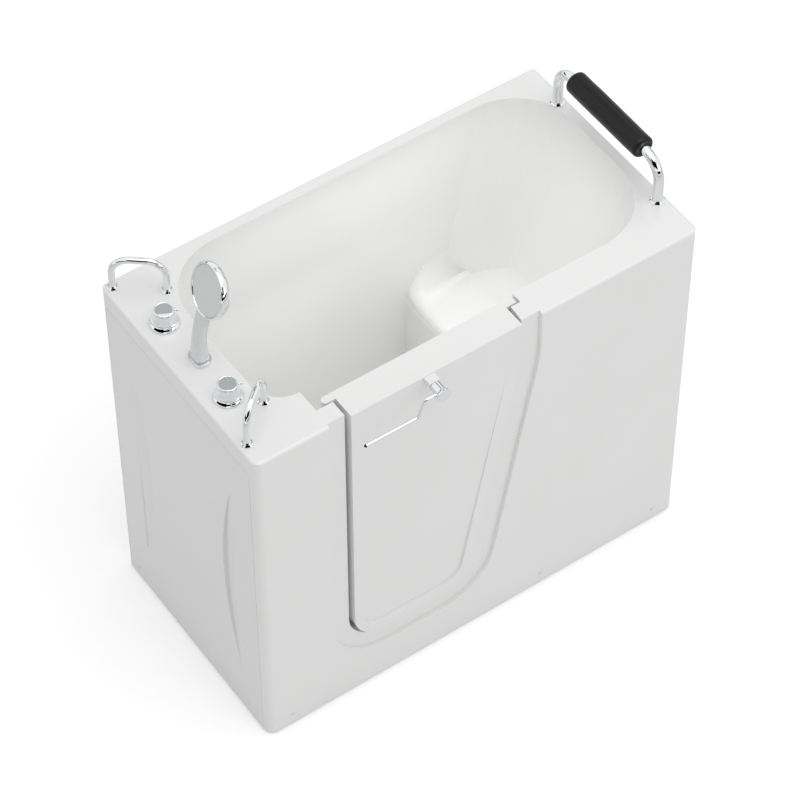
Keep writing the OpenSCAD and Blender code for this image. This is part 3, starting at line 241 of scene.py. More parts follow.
# The sheet's rolled edges, by where they lie in the moulding.
tub_low, tub_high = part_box("tub_shell")
DECK = tub_high[2]
SKIRT = tub_low[1]
ROLL_RIM = 0.006
BASIN_ENDS = (-0.478, 0.575)
BASIN_HALF_WIDTH = 0.262
ROLL_SURROUND = 0.003
SURROUND_ENDS = (-0.45, 0.2)
SURROUND_FOOT = 0.1
ROLL_CORNER = 0.02
WELL_FLOOR = 0.1589
WELL_FRONT = 0.1927
WELL_FRONT_SLOPE = 0.0349
WELL_CORNER_HEIGHTS = (0.16, 0.5)
WELL_CORNER_SIDE = 0.2


def on_deck_rim(edge):
    """The edge between the deck and the basin, but not the holes of the fittings."""
    spot = middle(edge)
    inside = BASIN_ENDS[0] < spot.x < BASIN_ENDS[1] and abs(spot.y) < BASIN_HALF_WIDTH
    return abs(spot.z - DECK) < 0.012 and inside


def on_surround(edge):
    """The front edge of the sunk surround round the door."""
    spot = middle(edge)
    inside = SURROUND_ENDS[0] < spot.x < SURROUND_ENDS[1] and spot.z > SURROUND_FOOT
    return abs(spot.y - SKIRT) < 0.0004 and inside


def on_well_corner(edge):
    """The upright corners between the seat's front and the long walls, on the side of the water."""
    spot = middle(edge)
    low, high = WELL_CORNER_HEIGHTS
    front = WELL_FRONT + WELL_FRONT_SLOPE * (spot.z - WELL_FLOOR)
    upright = abs(edge.verts[0].co.z - edge.verts[1].co.z) > 0.9 * edge.calc_length()
    inside = abs(spot.x - front) < 0.0015 and low < spot.z < high and abs(spot.y) > WELL_CORNER_SIDE
    return inside and upright


# The seat: a flat top between two long hollows that rise into the walls. Its front edge is
# rolled down, and the front of each hollow leans back, so that it fades into the corner.
SEAT_TOP = 0.51
SEAT_FRONT = 0.205
SEAT_SIDES = (-0.1415, 0.1955)
SEAT_WALLS = (-0.2191, 0.2731)
WALL_GAP = 0.001
HOLLOW_R = 0.08
HOLLOW_TOP = 0.5882
HOLLOW_END = 0.595
HOLLOW_PLAY = 0.0012
SEAT_ROLL = 0.026
ROLL_STEPS = 7
ROLL_END = SEAT_FRONT + SEAT_ROLL + 0.002
ROLL_SHARE = 0.8
LEAN_FOOT = 0.502
LEAN_STEP = 0.0125
LEAN_STEPS = 7
LEAN_BACK = 0.05
LEAN_REACH = 0.13
LEAN_LENGTHS = (0.19, SEAT_FRONT + LEAN_REACH)
LEAN_HEIGHTS = (0.45, 0.6)


def off_seat(point):
    """How far a point is off the seat's top and its hollows, and which way is into the seat there."""
    side = min(max(point.y, SEAT_SIDES[0]), SEAT_SIDES[1])
    out = Vector((0, point.y - side, point.z - SEAT_TOP - HOLLOW_R))
    return abs(out.length - HOLLOW_R), out.normalized()


def cut_across(shape, chosen, point, across):
    """Cuts the faces whose vertices all pass the test, with a plane through the point."""
    faces = [f for f in shape.faces if all(chosen(v.co) for v in f.verts)]
    edges = {e for f in faces for e in f.edges}
    verts = {v for f in faces for v in f.verts}
    bmesh.ops.bisect_plane(shape, geom=faces + list(edges) + list(verts), plane_co=point, plane_no=across)


def on_seat_top(point):
    """True on the seat's top and on its hollows, short of where they run into the walls."""
    return off_seat(point)[0] < HOLLOW_PLAY and point.x > SEAT_FRONT - 1e-4 and point.z < HOLLOW_END


def near_seat_front(point):
    """True round the seat's front, from below its edge up and as far back as the hollows lean."""
    return LEAN_LENGTHS[0] < point.x < LEAN_LENGTHS[1] and LEAN_HEIGHTS[0] < point.z < LEAN_HEIGHTS[1]


def roll_front(shape, new):
    """Draws the seat's square front edge down in a quarter round that dies away up the long walls."""
    for step in range(1, ROLL_STEPS + 1):
        x = SEAT_FRONT + SEAT_ROLL * (1 - cos(step * pi / (2 * ROLL_STEPS)))
        cut_across(shape, on_seat_top, (x, 0, 0), (1, 0, 0))
    for vert in shape.verts:
        if on_seat_top(vert.co) and vert.co.x < ROLL_END:
            inward = off_seat(vert.co)[1]
            back = min(1, max(0, 1 - (vert.co.x - SEAT_FRONT) / SEAT_ROLL))
            # Up a hollow the roll moves sideways, and takes only its share of the way to the wall.
            to_wall = max(0, abs(vert.co.y - SEAT_WALLS[inward.y > 0]) - WALL_GAP)
            room = min(1, ROLL_SHARE * to_wall / max(abs(inward.y), 0.02) / SEAT_ROLL)
            vert.co += inward * SEAT_ROLL * (1 - (1 - back ** 2) ** 0.5) * room
            for face in vert.link_faces:
                face[new] = 1


def lean_hollows(shape, new):
    """Leans the front of both hollows back: most at their top, and less the further back a point is."""
    for step in range(LEAN_STEPS):
        cut_across(shape, near_seat_front, (0, 0, LEAN_FOOT + LEAN_STEP * step), (0, 0, 1))
    for vert in shape.verts:
        behind = vert.co.x - SEAT_FRONT
        rise = min(1, max(0, (vert.co.z - LEAN_FOOT) / (HOLLOW_TOP - LEAN_FOOT)))
        if rise > 0 and -2e-4 < behind < LEAN_REACH and vert.co.z < HOLLOW_TOP + 2e-4:
            vert.co.x += LEAN_BACK * rise ** 2 * (3 - 2 * rise) * (1 - behind / LEAN_REACH)
            for face in vert.link_faces:
                if abs(face.normal.x) > 0.5:
                    face[new] = 1


def shape_seat(shape, new):
    """Gives the seat the soft front of a drawn sheet."""
    roll_front(shape, new)
    lean_hollows(shape, new)


tub_rolls = ((ROLL_CORNER, on_well_corner), (ROLL_RIM, on_deck_rim), (ROLL_SURROUND, on_surround))
tub = rolled_copy("tub_shell", "tub_moulding", acrylic, tub_rolls, shape_seat)
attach(tub, "tub")
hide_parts("tub_shell")

# ---- Waste and overflow ----
# A stainless body with a guide cross for the push plug in the well's floor, and an overflow of
# white pipe that is solvent-welded at its elbow. Only the plug and the overflow's cover are chromed.

# Extruded PVC: a warm white with a satin skin and faint dents of handling, some 6 mm across.
pvc = new_material("extruded_pvc")
place = add(pvc, "ShaderNodeTexCoord", {}).outputs["Object"]
clouds = add(pvc, "ShaderNodeTexNoise", {"Scale": 1000 / 40, "Detail": 2.0},
             {"Vector": place}).outputs["Fac"]
tint = add(pvc, "ShaderNodeMixRGB", {"Color1": linear("#E1E1DD"), "Color2": linear("#E8E8E5")},
           {"Fac": clouds}).outputs["Color"]
skin = add(pvc, "ShaderNodeTexNoise", {"Scale": 1000 / 6, "Detail": 2.0},
           {"Vector": place}).outputs["Fac"]
gloss = add(pvc, "ShaderNodeMapRange",
            {"From Min": 0.3, "From Max": 0.7, "To Min": 0.34, "To Max": 0.5},
            {"Value": skin}).outputs["Result"]
dents = add(pvc, "ShaderNodeBump", {"Strength": 0.3, "Distance": 0.0001},
            {"Height": skin}).outputs["Normal"]
shader = add(pvc, "ShaderNodeBsdfPrincipled", {"IOR": 1.53},
             {"Base Color": tint, "Roughness": gloss, "Normal": dents})
add(pvc, "ShaderNodeOutputMaterial", {}, {"Surface": shader.outputs["BSDF"]})
for name in ("drain_nut", "overflow_elbow", "overflow_pipe", "shower_holder_nut"):
    dress(name, pvc)
for name in ("drain_body", "drain_cross"):
    dress(name, turned)

# Chrome plate on polished brass: a mirror with a slightly cool tint and the faintest smear of
# a cloth, so that it shows black and white shapes with crisp edges.
chrome = new_material("polished_chrome_plate")
place = add(chrome, "ShaderNodeTexCoord", {}).outputs["Object"]
smear = add(chrome, "ShaderNodeTexNoise", {"Scale": 1000 / 25, "Detail": 3.0},
            {"Vector": place}).outputs["Fac"]
tint = add(chrome, "ShaderNodeMixRGB", {"Color1": linear("#E6E8EA"), "Color2": linear("#EEEFF0")},
           {"Fac": smear}).outputs["Color"]
gloss = add(chrome, "ShaderNodeMapRange",
            {"From Min": 0.35, "From Max": 0.7, "To Min": 0.02, "To Max": 0.06},
            {"Value": smear}).outputs["Result"]
shader = add(chrome, "ShaderNodeBsdfPrincipled", {"Metallic": 1.0},
             {"Base Color": tint, "Roughness": gloss})
add(chrome, "ShaderNodeOutputMaterial", {}, {"Surface": shader.outputs["BSDF"]})
for name in ("drain_plug", "overflow_cover"):
    dress(name, chrome)

# ---- Door ----
# Two acrylic mouldings glued back to back. The outer one fills the opening and carries the
# sunk panel and the nose; the inner one has the flange that presses the seal to the jamb.
DOOR_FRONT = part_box("door_outer_shell")[0][1]
DOOR_THICK = 0.05
ROLL_DOOR = 0.0015


def on_door_edge(edge):
    """All outer edges of the door's front moulding, but not the short ones round the latch's holes."""
    return middle(edge).y < DOOR_FRONT + DOOR_THICK and edge.calc_length() > 0.002


door = rolled_copy("door_outer_shell", "door_moulding", acrylic, ((ROLL_DOOR, on_door_edge),))
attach(door, "door")
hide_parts("door_outer_shell")
dress("door_inner_shell", acrylic)

# Cured silicone: a milky grey, soft and slightly glossy, with a bloom that comes in patches.
silicone = new_material("cured_silicone")
place = add(silicone, "ShaderNodeTexCoord", {}).outputs["Object"]
bloom = add(silicone, "ShaderNodeTexNoise", {"Scale": 1000 / 20, "Detail": 2.0},
            {"Vector": place}).outputs["Fac"]
tint = add(silicone, "ShaderNodeMixRGB", {"Color1": linear("#ADAEAE"), "Color2": linear("#BBBBBB")},
           {"Fac": bloom}).outputs["Color"]
gloss = add(silicone, "ShaderNodeMapRange",
            {"From Min": 0.3, "From Max": 0.7, "To Min": 0.4, "To Max": 0.6},
            {"Value": bloom}).outputs["Result"]
shader = add(silicone, "ShaderNodeBsdfPrincipled", {"IOR": 1.41},
             {"Base Color": tint, "Roughness": gloss})
add(silicone, "ShaderNodeOutputMaterial", {}, {"Surface": shader.outputs["BSDF"]})
dress("door_gasket", silicone)
for name in ("hinge_brackets", "hinge_screws", "hinge_pins"):
    dress(name, turned)

# ---- Latch and lever ----
# A toothed sector on the lever's spindle pushes a rack bolt into the keeper in the jamb. The
# barrel and its cranked rod are chromed brass, and the rod ends in a black rubber tip.
for name in ("latch_bush", "latch_carrier", "latch_spindle", "latch_sector", "latch_bolt", "latch_keeper"):
    dress(name, turned)
dress("latch_guide", acrylic)
for name in ("lever_barrel", "lever_rod"):
    dress(name, chrome)
dress("lever_tip", rubber)

# ---- End panels and screws ----
# Thinner acrylic sheet at both ends, formed with two pressed crescents that stiffen it. The
# panels and the skirt are held to the frame by screws with white plastic heads.

# Formed sheet: the same white with less gloss, and an even orange peel from the oven.
sheet = new_material("formed_sheet")
place = add(sheet, "ShaderNodeTexCoord", {}).outputs["Object"]
clouds = add(sheet, "ShaderNodeTexNoise", {"Scale": 1000 / 180, "Detail": 2.0},
             {"Vector": place}).outputs["Fac"]
tint = add(sheet, "ShaderNodeMixRGB", {"Color1": linear("#F1F1F1"), "Color2": linear("#F4F4F4")},
           {"Fac": clouds}).outputs["Color"]
peel = add(sheet, "ShaderNodeTexNoise", {"Scale": 1000 / 22, "Detail": 1.0},
           {"Vector": place}).outputs["Fac"]
gloss = add(sheet, "ShaderNodeMapRange",
            {"From Min": 0.3, "From Max": 0.7, "To Min": 0.24, "To Max": 0.27},
            {"Value": peel}).outputs["Result"]
ripple = add(sheet, "ShaderNodeBump", {"Strength": 0.03, "Distance": 0.0001},
             {"Height": peel}).outputs["Normal"]
shader = add(sheet, "ShaderNodeBsdfPrincipled", {"IOR": 1.49},
             {"Base Color": tint, "Roughness": gloss, "Normal": ripple})
add(sheet, "ShaderNodeOutputMaterial", {}, {"Surface": shader.outputs["BSDF"]})

# The CAD panel's crescents are 5 mm deep all over. Here the depth runs from 7 mm at the bow to
# nothing at the straight edge, and the floor's rim moves out as it sinks, so that the wall leans.
PANEL_FACE = 0.6
PRESS_FLOOR = 0.595
PRESS_CHORD = 0.206
PRESS_BOW = 0.154
PRESS_DEPTH = 0.007
PRESS_WALL = 1.3


def slope_pressings(shape, new):
    """Slopes each crescent's floor, deep at the bow and level at the straight edge, and leans its wall."""
    for vert in shape.verts:
        x, y = abs(vert.co.x), abs(vert.co.y)
        if abs(x - PRESS_FLOOR) < 2e-4 and PRESS_BOW - 1e-3 < y < PRESS_CHORD + 1e-3:
            depth = max(0, PRESS_DEPTH * (PRESS_CHORD - y) / (PRESS_CHORD - PRESS_BOW))
            vert.co.x += (PANEL_FACE - depth - x) * (1 if vert.co.x > 0 else -1)
            vert.co.y += PRESS_WALL * depth * (1 if vert.co.y > 0 else -1)
            for face in vert.link_faces:
                face[new] = 1


for name, piece_name in (("end_panel_left", "tap_end_sheet"), ("end_panel_right", "head_end_sheet")):
    panel = rolled_copy(name, piece_name, sheet, (), slope_pressings)
    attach(panel, "tub")
    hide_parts(name)
dress("skirt_screws", pvc)

# ---- Grab bars and head bar ----
# Chromed tube bent to a U, with a stud welded in each end that is nutted under the deck, and
# a loose cover flange that hides the hole.
for name in ("grab_bar_rear", "grab_bar_front", "grab_bar_flanges", "pillow_bar", "pillow_bar_flanges"):
    dress(name, chrome)
for name in ("grab_bar_nuts", "pillow_bar_nuts"):
    dress(name, turned)

# ---- Head pillow ----
# A tube of soft black foam that was pushed over the bar. Its ends are cut square and rounded
# over, and its bore stands open a little round the tube.
sleeve_low, sleeve_high = [Vector(corner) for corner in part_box("pillow_sleeve")]
bar_line = (sleeve_low + sleeve_high) / 2
sleeve_length = sleeve_high.y - sleeve_low.y
SLEEVE_R = 0.028
SLEEVE_BORE = 0.0152
SLEEVE_ROUND = 0.0075
BORE_ROUND = 0.003
CROWN = 0.0006
SWELL = 0.0005
SWELLS_PER_METRE = 22
SWELL_FROM = 0.0192


def end_ring(shape, radius):
    """The edges of both ends' circles of that radius, on a tube that stands along Z."""
    return [e for e in shape.edges if all(abs(v.co.xy.length - radius) < 1e-4 for v in e.verts)
            and abs(e.verts[0].co.z - e.verts[1].co.z) < 1e-5]


def end_caps(shape):
    """The two many-sided faces that close a tube's ends."""
    return [f for f in shape.faces if len(f.verts) > 4]


foam = bmesh.new()
bmesh.ops.create_cone(foam, cap_ends=True, segments=72, radius1=SLEEVE_R, radius2=SLEEVE_R,
                      depth=sleeve_length)
bmesh.ops.inset_region(foam, faces=end_caps(foam), thickness=SLEEVE_R - SLEEVE_BORE, use_even_offset=True)
bmesh.ops.bridge_loops(foam, edges=list({e for f in end_caps(foam) for e in f.edges}))
bmesh.ops.delete(foam, geom=end_caps(foam), context="FACES_ONLY")
round_off(foam, end_ring(foam, SLEEVE_R), SLEEVE_ROUND, 6)
round_off(foam, end_ring(foam, SLEEVE_BORE), BORE_ROUND, 3)
lengthwise = [e for e in foam.edges if abs(e.verts[0].co.z - e.verts[1].co.z) > sleeve_length / 2]
bmesh.ops.subdivide_edges(foam, edges=lengthwise, cuts=40, use_grid_fill=True)
bmesh.ops.rotate(foam, verts=foam.verts, matrix=Matrix.Rotation(radians(-90), 3, "X"))
for vert in foam.verts:
    # Soft foam is never quite round outside: it is crowned, and swells here and sinks there.
    ring = Vector((vert.co.x, 0, vert.co.z))
    if ring.length > SWELL_FROM:
        crown = CROWN * cos(pi * vert.co.y / sleeve_length)
        vert.co += ring.normalized() * (crown + SWELL * noise.noise(vert.co * SWELLS_PER_METRE))
bmesh.ops.translate(foam, verts=foam.verts, vec=bar_line)
bmesh.ops.remove_doubles(foam, verts=foam.verts, dist=2e-5)
bmesh.ops.holes_fill(foam, edges=[e for e in foam.edges if len(e.link_faces) == 1], sides=8)
bmesh.ops.recalc_face_normals(foam, faces=foam.faces)

# Skinned polyurethane foam: black, soft sheen, with a closed skin that shows fine pores. They
# are 0.6 mm in the real foam and 1.2 mm here.
skinned = new_material("skinned_foam")
place = add(skinned, "ShaderNodeTexCoord", {}).outputs["Object"]
pores = add(skinned, "ShaderNodeTexNoise", {"Scale": 1000 / 1.2, "Detail": 2.0},
            {"Vector": place}).outputs["Fac"]
rubbed = add(skinned, "ShaderNodeTexNoise", {"Scale": 1000 / 35, "Detail": 3.0},
             {"Vector": place}).outputs["Fac"]
tint = add(skinned, "ShaderNodeMixRGB", {"Color1": linear("#070707"), "Color2": linear("#0D0D0D")},
           {"Fac": rubbed}).outputs["Color"]
gloss = add(skinned, "ShaderNodeMapRange",
            {"From Min": 0.3, "From Max": 0.7, "To Min": 0.27, "To Max": 0.36},
            {"Value": rubbed}).outputs["Result"]
pits = add(skinned, "ShaderNodeBump", {"Strength": 0.35, "Distance": 0.0001},
           {"Height": pores}).outputs["Normal"]
shader = add(skinned, "ShaderNodeBsdfPrincipled", {"IOR": 1.5, "Specular IOR Level": 0.32},
             {"Base Color": tint, "Roughness": gloss, "Normal": pits})
add(skinned, "ShaderNodeOutputMaterial", {}, {"Surface": shader.outputs["BSDF"]})
pillow = smooth_piece(foam, "pillow_foam", skinned)
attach(pillow, "tub")
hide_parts("pillow_sleeve")

# ---- Taps ----
# A brass valve under the deck, a chromed bell flange that hides its hole, and a chromed knob
# with a ball-ended stub to turn it by.

# Machined brass: warm yellow metal with turning marks that blur its gloss.
brass = new_material("machined_brass")
place = add(brass, "ShaderNodeTexCoord", {}).outputs["Object"]
marks = add(brass, "ShaderNodeTexNoise", {"Scale": 1000 / 8, "Detail": 3.0},
            {"Vector": place}).outputs["Fac"]
tint = add(brass, "ShaderNodeMixRGB", {"Color1": linear("#C09A52"), "Color2": linear("#D2AC64")},
           {"Fac": marks}).outputs["Color"]
gloss = add(brass, "ShaderNodeMapRange",
            {"From Min": 0.3, "From Max": 0.7, "To Min": 0.22, "To Max": 0.38},
            {"Value": marks}).outputs["Result"]
shader = add(brass, "ShaderNodeBsdfPrincipled", {"Metallic": 1.0},
             {"Base Color": tint, "Roughness": gloss})
add(brass, "ShaderNodeOutputMaterial", {}, {"Surface": shader.outputs["BSDF"]})
dress("tap_valves", brass)


def finished(shape, piece_name, material, body, slot, *replaced):
    """Turns a bmesh into a piece that shades softly, rides on its body and stands for its CAD nodes."""
    bmesh.ops.remove_doubles(shape, verts=shape.verts, dist=3e-5)
    bmesh.ops.recalc_face_normals(shape, faces=shape.faces)
    for edge in shape.edges:
        edge.smooth = not is_sharp(edge, 32)
    piece = smooth_piece(shape, piece_name, material)
    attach(piece, body)
    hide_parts(*replaced)


def turned_shape(profile, round_mm, closed=False, steps=72):
    """A shape turned about Z from a profile of radii and heights in millimetres, with rounded corners."""
    shape = bmesh.new()
    verts = [shape.verts.new((r / 1000, 0, h / 1000)) for r, h in profile]
    edges = [shape.edges.new(pair) for pair in zip(verts, verts[1:] + verts[:1] if closed else verts[1:])]
    bmesh.ops.spin(shape, geom=verts + edges, axis=(0, 0, 1), cent=(0, 0, 0), dvec=(0, 0, 0), angle=2 * pi,
                   steps=steps, use_merge=True)
    bmesh.ops.remove_doubles(shape, verts=shape.verts, dist=1e-6)
    bmesh.ops.recalc_face_normals(shape, faces=shape.faces)
    round_off(shape, [e for e in shape.edges if is_sharp(e, 34)], round_mm / 1000, 3)
    return shape


def join(whole, part):
    """Adds one bmesh to another, as a loose shell of the same piece."""
    mesh = bpy.data.meshes.new("part")
    part.to_mesh(mesh)
    part.free()
    whole.from_mesh(mesh)
    bpy.data.meshes.remove(mesh)


# A tap's axis stands this far inside the left side of its knob's box.
TAP_AXIS = 0.024
BELL = ((11.3, 0), (36, 0), (36, 1), (35.6, 3), (34.6, 5.2), (33, 7.4), (31.2, 9.4), (29.8, 11.4),
        (29.2, 12.9), (11.3, 12.9))
bells = bmesh.new()
for name in ("hot_knob", "cold_knob"):
    low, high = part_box(name)
    shape = turned_shape(BELL, 0.7, closed=True)
    bmesh.ops.translate(shape, verts=shape.verts, vec=(low[0] + TAP_AXIS, (low[1] + high[1]) / 2, DECK))
    join(bells, shape)
finished(bells, "tap_bells", chrome, "tub", "chrome", "tap_flanges")

KNOB = ((0, 24), (5.3, 24), (5.3, 0.4), (27.6, 0.4), (27.8, 2.4), (26.2, 8), (24.8, 14), (24.2, 20),
        (24.1, 27), (23.4, 29), (22.2, 30.3), (20.8, 31), (20.2, 30.2), (0, 30.2))
STUB_LENGTH = 0.011
STUB_FOOT_R = 0.0028
STUB_TIP_R = 0.0021
BALL_R = 0.0038
STUB_PLACE = (0.0235, 0, 0.023)
STUB_TURN = radians(-22)
for name, body in (("hot_knob", "hot_tap"), ("cold_knob", "cold_tap")):
    low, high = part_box(name)
    shape = turned_shape(KNOB, 0.6)
    stub = bmesh.ops.create_cone(shape, cap_ends=True, segments=20, radius1=STUB_FOOT_R, radius2=STUB_TIP_R,
                                 depth=STUB_LENGTH)["verts"]
    ball = bmesh.ops.create_uvsphere(shape, u_segments=24, v_segments=14, radius=BALL_R)["verts"]
    bmesh.ops.translate(shape, verts=ball, vec=(0, 0, STUB_LENGTH / 2 + 0.001))
    nub = list(stub) + list(ball)
    bmesh.ops.rotate(shape, verts=nub, matrix=Matrix.Rotation(radians(90), 3, "Y"))
    bmesh.ops.translate(shape, verts=nub, vec=STUB_PLACE)
    bmesh.ops.rotate(shape, verts=nub, matrix=Matrix.Rotation(STUB_TURN, 3, "Z"))
    bmesh.ops.translate(shape, verts=shape.verts, vec=(low[0] + TAP_AXIS, (low[1] + high[1]) / 2, low[2]))
    finished(shape, name + "_cap", chrome, body, "chrome", name)

# ---- Hand shower ----
# A chromed ring holds a satin disc on the outside and the spray plate on the side of the tub.
# The handle is moulded ABS with a silver lacquer, broad at the back, and stands in a chromed collar.
collar_low, collar_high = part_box("shower_holder")
COLLAR_X = (collar_low[0] + collar_high[0]) / 2
COLLAR_Y = (collar_low[1] + collar_high[1]) / 2
COLLAR_TOP = collar_high[2]
COLLAR_BORE = 0.015
ROLL_COLLAR = 0.003


def on_collar_top(edge):
    """The upper edge of the collar's plate, but not that of its bore."""
    spot = middle(edge)
    return spot.z > COLLAR_TOP - 1e-4 and abs(spot.y - COLLAR_Y) > COLLAR_BORE


collar = rolled_copy("shower_holder", "shower_collar", chrome, ((ROLL_COLLAR, on_collar_top),))
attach(collar, "tub")
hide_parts("shower_holder")

# Lacquered ABS: a cool light grey, satin, with a metallic grain. The real flakes are 0.05 mm
# and these are 1 mm, the finest that the render shows.
lacquer = new_material("lacquered_abs")
place = add(lacquer, "ShaderNodeTexCoord", {}).outputs["Object"]
flake = add(lacquer, "ShaderNodeTexNoise", {"Scale": 1000 / 1.0, "Detail": 2.0},
            {"Vector": place}).outputs["Fac"]
tint = add(lacquer, "ShaderNodeMixRGB", {"Color1": linear("#DEE1E1"), "Color2": linear("#E6E8E8")},
           {"Fac": flake}).outputs["Color"]
gloss = add(lacquer, "ShaderNodeMapRange",
            {"From Min": 0.3, "From Max": 0.7, "To Min": 0.22, "To Max": 0.3},
            {"Value": flake}).outputs["Result"]
shader = add(lacquer, "ShaderNodeBsdfPrincipled", {"Metallic": 0.25, "IOR": 1.52},
             {"Base Color": tint, "Roughness": gloss})
add(lacquer, "ShaderNodeOutputMaterial", {}, {"Surface": shader.outputs["BSDF"]})

# The head: its axis points out over the tap end, up by TILT and a little to the rear.
TILT = radians(19)
HEAD_TURN = 0.08
HEAD_RISE = 0.203
HEAD_REACH = 0.037
head_axis = Vector((-cos(TILT), HEAD_TURN, sin(TILT))).normalized()
head_centre = Vector((COLLAR_X + HEAD_REACH, COLLAR_Y, DECK + HEAD_RISE))
head_frame = Vector((0, 0, 1)).rotation_difference(head_axis).to_matrix()


def turned_on_head(profile, round_mm, closed=False):
    """A shape turned about the head's own axis."""
    shape = turned_shape(profile, round_mm, closed, steps=96)
    bmesh.ops.rotate(shape, verts=shape.verts, matrix=head_frame)
    bmesh.ops.translate(shape, verts=shape.verts, vec=head_centre)
    return shape


RIM = ((58.2, 6.6), (59.4, 9.6), (62, 10.4), (64.2, 8.4), (65.2, 4.6), (65.2, -2.4), (63.4, -7.4),
       (59.4, -12.6), (57.6, -14), (55, -14), (55, -11.6), (50, -10), (50, 5.6))
finished(turned_on_head(RIM, 0.5, closed=True), "shower_rim", chrome, "handset", "chrome", "shower_body")

DISC = ((0, 6.4), (57.9, 6.4), (57.9, 8.3), (50, 8.9), (30, 9.5), (9, 9.7), (5, 9.5), (2.4, 8.9), (0, 8.7))
finished(turned_on_head(DISC, 0.4), "shower_disc", lacquer, "handset", "handset_satin", "shower_back_disc")

# The handle: rings of a nearly rectangular section that narrow at the waist, follow a bend up
# to the head, and stand on a round peg in the collar's bore.
HANDLE_LENGTH = 0.15
HANDLE_REACH = 0.024
HANDLE_BEND = 2.6
HANDLE_ROUND = 0.002
HANDLE_GAP = 0.0006
RINGS = 22
SIDES = 48
PEG = ((0, -34), (12.6, -34), (12.6, 2), (0, 2))
foot = COLLAR_TOP + HANDLE_GAP

# Half its width and half its depth in millimetres: at the foot, and what the waist and the head add.
HALF_WIDE = (20.2, -3.0, 1.6)
HALF_DEEP = (17.2, -2.2, -7.4)


def along_handle(t, sizes):
    """One of those sizes in metres, a share t of the way up."""
    at_foot, at_waist, at_head = sizes
    return (at_foot + at_waist * sin(pi * t) + at_head * t) / 1000


handle = bmesh.new()
for ring in range(RINGS + 1):
    t = ring / RINGS
    half_wide = along_handle(t, HALF_WIDE)
    half_deep = along_handle(t, HALF_DEEP)
    centre = Vector((COLLAR_X + HANDLE_REACH * t ** HANDLE_BEND, COLLAR_Y, foot + t * HANDLE_LENGTH))
    lean = HANDLE_BEND * HANDLE_REACH / HANDLE_LENGTH * t ** (HANDLE_BEND - 1)
    lean_back = Matrix.Rotation(lean, 3, "Y")
    loop = bmesh.ops.create_circle(handle, cap_ends=ring in (0, RINGS), segments=SIDES, radius=1)["verts"]
    for vert in loop:
        x, y = vert.co.x, vert.co.y
        swell = (abs(x) ** 4 + abs(y) ** 4) ** (-1 / 4)
        vert.co = centre + lean_back @ Vector((x * swell * half_deep, y * swell * half_wide, 0))
    if ring:
        both = [e for e in handle.edges if set(e.verts) <= set(previous) or set(e.verts) <= set(loop)]
        bmesh.ops.bridge_loops(handle, edges=both)
    previous = loop
round_off(handle, [e for e in handle.edges if is_sharp(e, 50)], HANDLE_ROUND, 3)
peg = turned_shape(PEG, 1.0, steps=40)
bmesh.ops.translate(peg, verts=peg.verts, vec=(COLLAR_X, COLLAR_Y, foot))
join(handle, peg)
finished(handle, "shower_handle", lacquer, "handset", "handset_satin", "shower_body")
dress("shower_spray_plate", lacquer)

# ---- Studio ----
# A white floor that keeps the tub's shadow, soft light from all round, and four lamps: two
# high ones outside, and two weak ones low over the basin that lift the shade inside it.
FLOOR_GLOW = 0.26
bpy.ops.mesh.primitive_plane_add(size=40, location=(0, 0, 0))
floor = bpy.context.object
floor.name = "studio_floor"
paper = new_material("white_floor")
path = add(paper, "ShaderNodeLightPath", {})
plain = add(paper, "ShaderNodeBsdfDiffuse", {"Color": linear("#F4F4F4")})
white = add(paper, "ShaderNodeBsdfDiffuse", {"Color": (1, 1, 1, 1)})
glow = add(paper, "ShaderNodeEmission", {"Color": (1, 1, 1, 1), "Strength": FLOOR_GLOW})
lit = add(paper, "ShaderNodeAddShader", {}, {0: white.outputs["BSDF"], 1: glow.outputs["Emission"]})
seen = add(paper, "ShaderNodeMixShader", {},
           {"Fac": path.outputs["Is Camera Ray"], 1: plain.outputs["BSDF"], 2: lit.outputs["Shader"]})
add(paper, "ShaderNodeOutputMaterial", {}, {"Surface": seen.outputs["Shader"]})
floor.data.materials.append(paper)

# The sky: white to the eye, in gloss and through glass, and dimmer as light on the tub.
AMBIENT = 0.62
studio = bpy.data.worlds.new("white_studio")
studio.use_nodes = True
studio.node_tree.nodes.clear()
path = add(studio, "ShaderNodeLightPath", {})
either = add(studio, "ShaderNodeMath", {"operation": "MAXIMUM"},
             {0: path.outputs["Is Camera Ray"], 1: path.outputs["Is Glossy Ray"]})
any_of = add(studio, "ShaderNodeMath", {"operation": "MAXIMUM"},
             {0: either.outputs["Value"], 1: path.outputs["Is Transmission Ray"]})
level = add(studio, "ShaderNodeMapRange", {"To Min": AMBIENT, "To Max": 1.0},
            {"Value": any_of.outputs["Value"]})
sky = add(studio, "ShaderNodeBackground", {"Color": (1, 1, 1, 1)},
          {"Strength": level.outputs["Result"]})
add(studio, "ShaderNodeOutputWorld", {}, {"Surface": sky.outputs["Background"]})
bpy.context.scene.world = studio

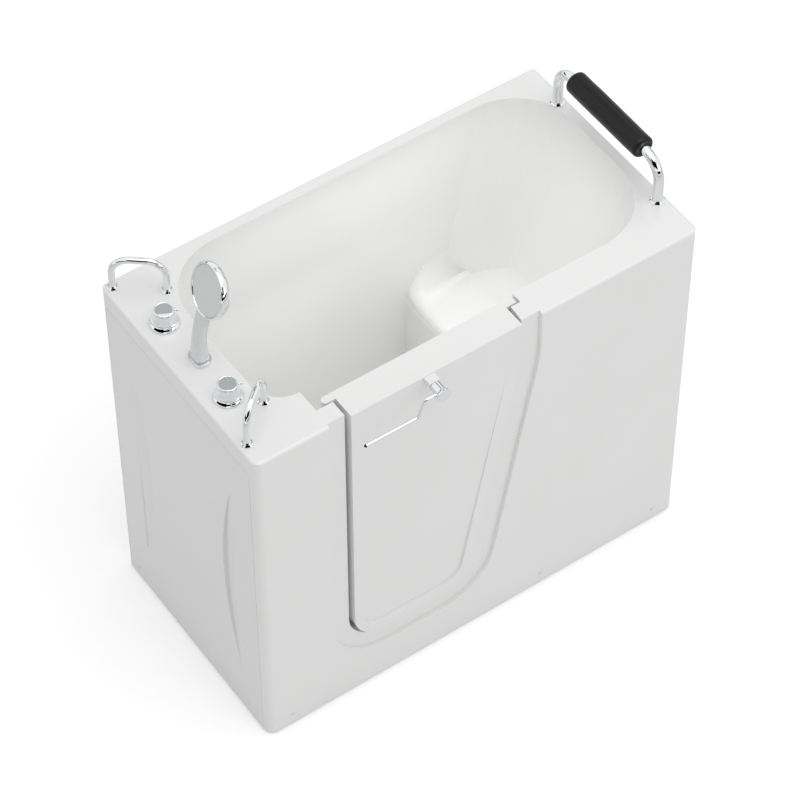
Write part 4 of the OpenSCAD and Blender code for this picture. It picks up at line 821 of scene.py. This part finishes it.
# Each lamp's name, place, aim, size in metres and power in watts, and whether gloss shows it.
for name, stand, aim_at, size, power, in_gloss in (
        ("top_softbox", (0.3, -0.6, 5.0), (0, 0, 1.0), (4.0, 4.0), 60, True),
        ("basin_softbox", (0.02, 0.01, 1.05), (0.02, 0.01, 0), (0.75, 0.34), 0.62, False),
        ("well_softbox", (-0.16, 0.01, 0.78), (-0.16, 0.01, 0), (0.5, 0.3), 0.24, False),
        ("front_softbox", (1.5, -5.0, 3.0), (0, 0, 0.6), (3.0, 3.0), 20, True)):
    lamp = bpy.data.lights.new(name, "AREA")
    lamp.shape = "RECTANGLE"
    lamp.size, lamp.size_y = size
    lamp.energy = power
    holder = bpy.data.objects.new(name, lamp)
    bpy.context.collection.objects.link(holder)
    holder.visible_camera = False
    holder.visible_glossy = in_gloss
    holder.location = stand
    holder.rotation_euler = (Vector(aim_at) - Vector(stand)).to_track_quat("-Z", "Y").to_euler()

# Cards of felt that only gloss shows, and that give the polished metal its dark streaks: black
# ones low at every side and a large one in front, and a grey one above the head end whose
# picture lies flat in the tops of the taps.
CARD_AIM = Vector((-0.2, 0, 1.1))
for name, grey, stand, wide, high in (
        ("card_left", 0, (-3.0, -0.6, 1.9), 3.4, 0.9),
        ("card_front", 0, (-1.3, -2.4, 3.1), 4.6, 1.9),
        ("card_low_front", 0, (0.2, -3.4, 1.5), 4.4, 0.6),
        ("card_right", 0, (3.0, 0.9, 2.1), 2.6, 0.6),
        ("card_rear", 0, (-0.4, 3.2, 1.7), 2.0, 0.5),
        ("card_above", 0.5, (0.9, 2.1, 4.2), 1.7, 1.4)):
    felt = new_material("felt_of_" + name)
    shade = add(felt, "ShaderNodeEmission", {"Color": (1, 1, 1, 1), "Strength": grey})
    add(felt, "ShaderNodeOutputMaterial", {}, {"Surface": shade.outputs["Emission"]})
    bpy.ops.mesh.primitive_plane_add(size=1, location=stand)
    card = bpy.context.object
    card.name = name
    card.scale = (wide, high, 1)
    card.rotation_euler = (CARD_AIM - Vector(stand)).to_track_quat("Z", "Y").to_euler()
    card.data.materials.append(felt)
    card.visible_camera = False
    card.visible_diffuse = False
    card.visible_shadow = False
    card.visible_transmission = False

# ---- Camera ----
# A long lens from above the front left corner, almost level from side to side as in the
# photograph. Its place and axes were solved from the tub's box edges there.
FOCAL_MM = 152.43
CAMERA_PLACE = Vector((-2.8965, -4.1686, 6.6716))
CAMERA_BACK = Vector((-0.3627, -0.5229, 0.7714)).normalized()
CAMERA_RIGHT = Vector((0.8216, -0.5700, 0.0)).normalized()
CAMERA_ROLL = radians(-0.13)

lens = bpy.data.cameras.new("camera")
lens.sensor_width = 36
lens.lens = FOCAL_MM
lens.clip_end = 100
camera = bpy.data.objects.new("camera", lens)
bpy.context.collection.objects.link(camera)
bpy.context.scene.camera = camera
up = CAMERA_BACK.cross(CAMERA_RIGHT).normalized()
aim = Matrix((CAMERA_RIGHT, up, CAMERA_BACK)).transposed().to_4x4()
aim.translation = CAMERA_PLACE
camera.matrix_world = aim @ Matrix.Rotation(CAMERA_ROLL, 4, "Z")

bpy.context.scene.view_settings.view_transform = "Standard"
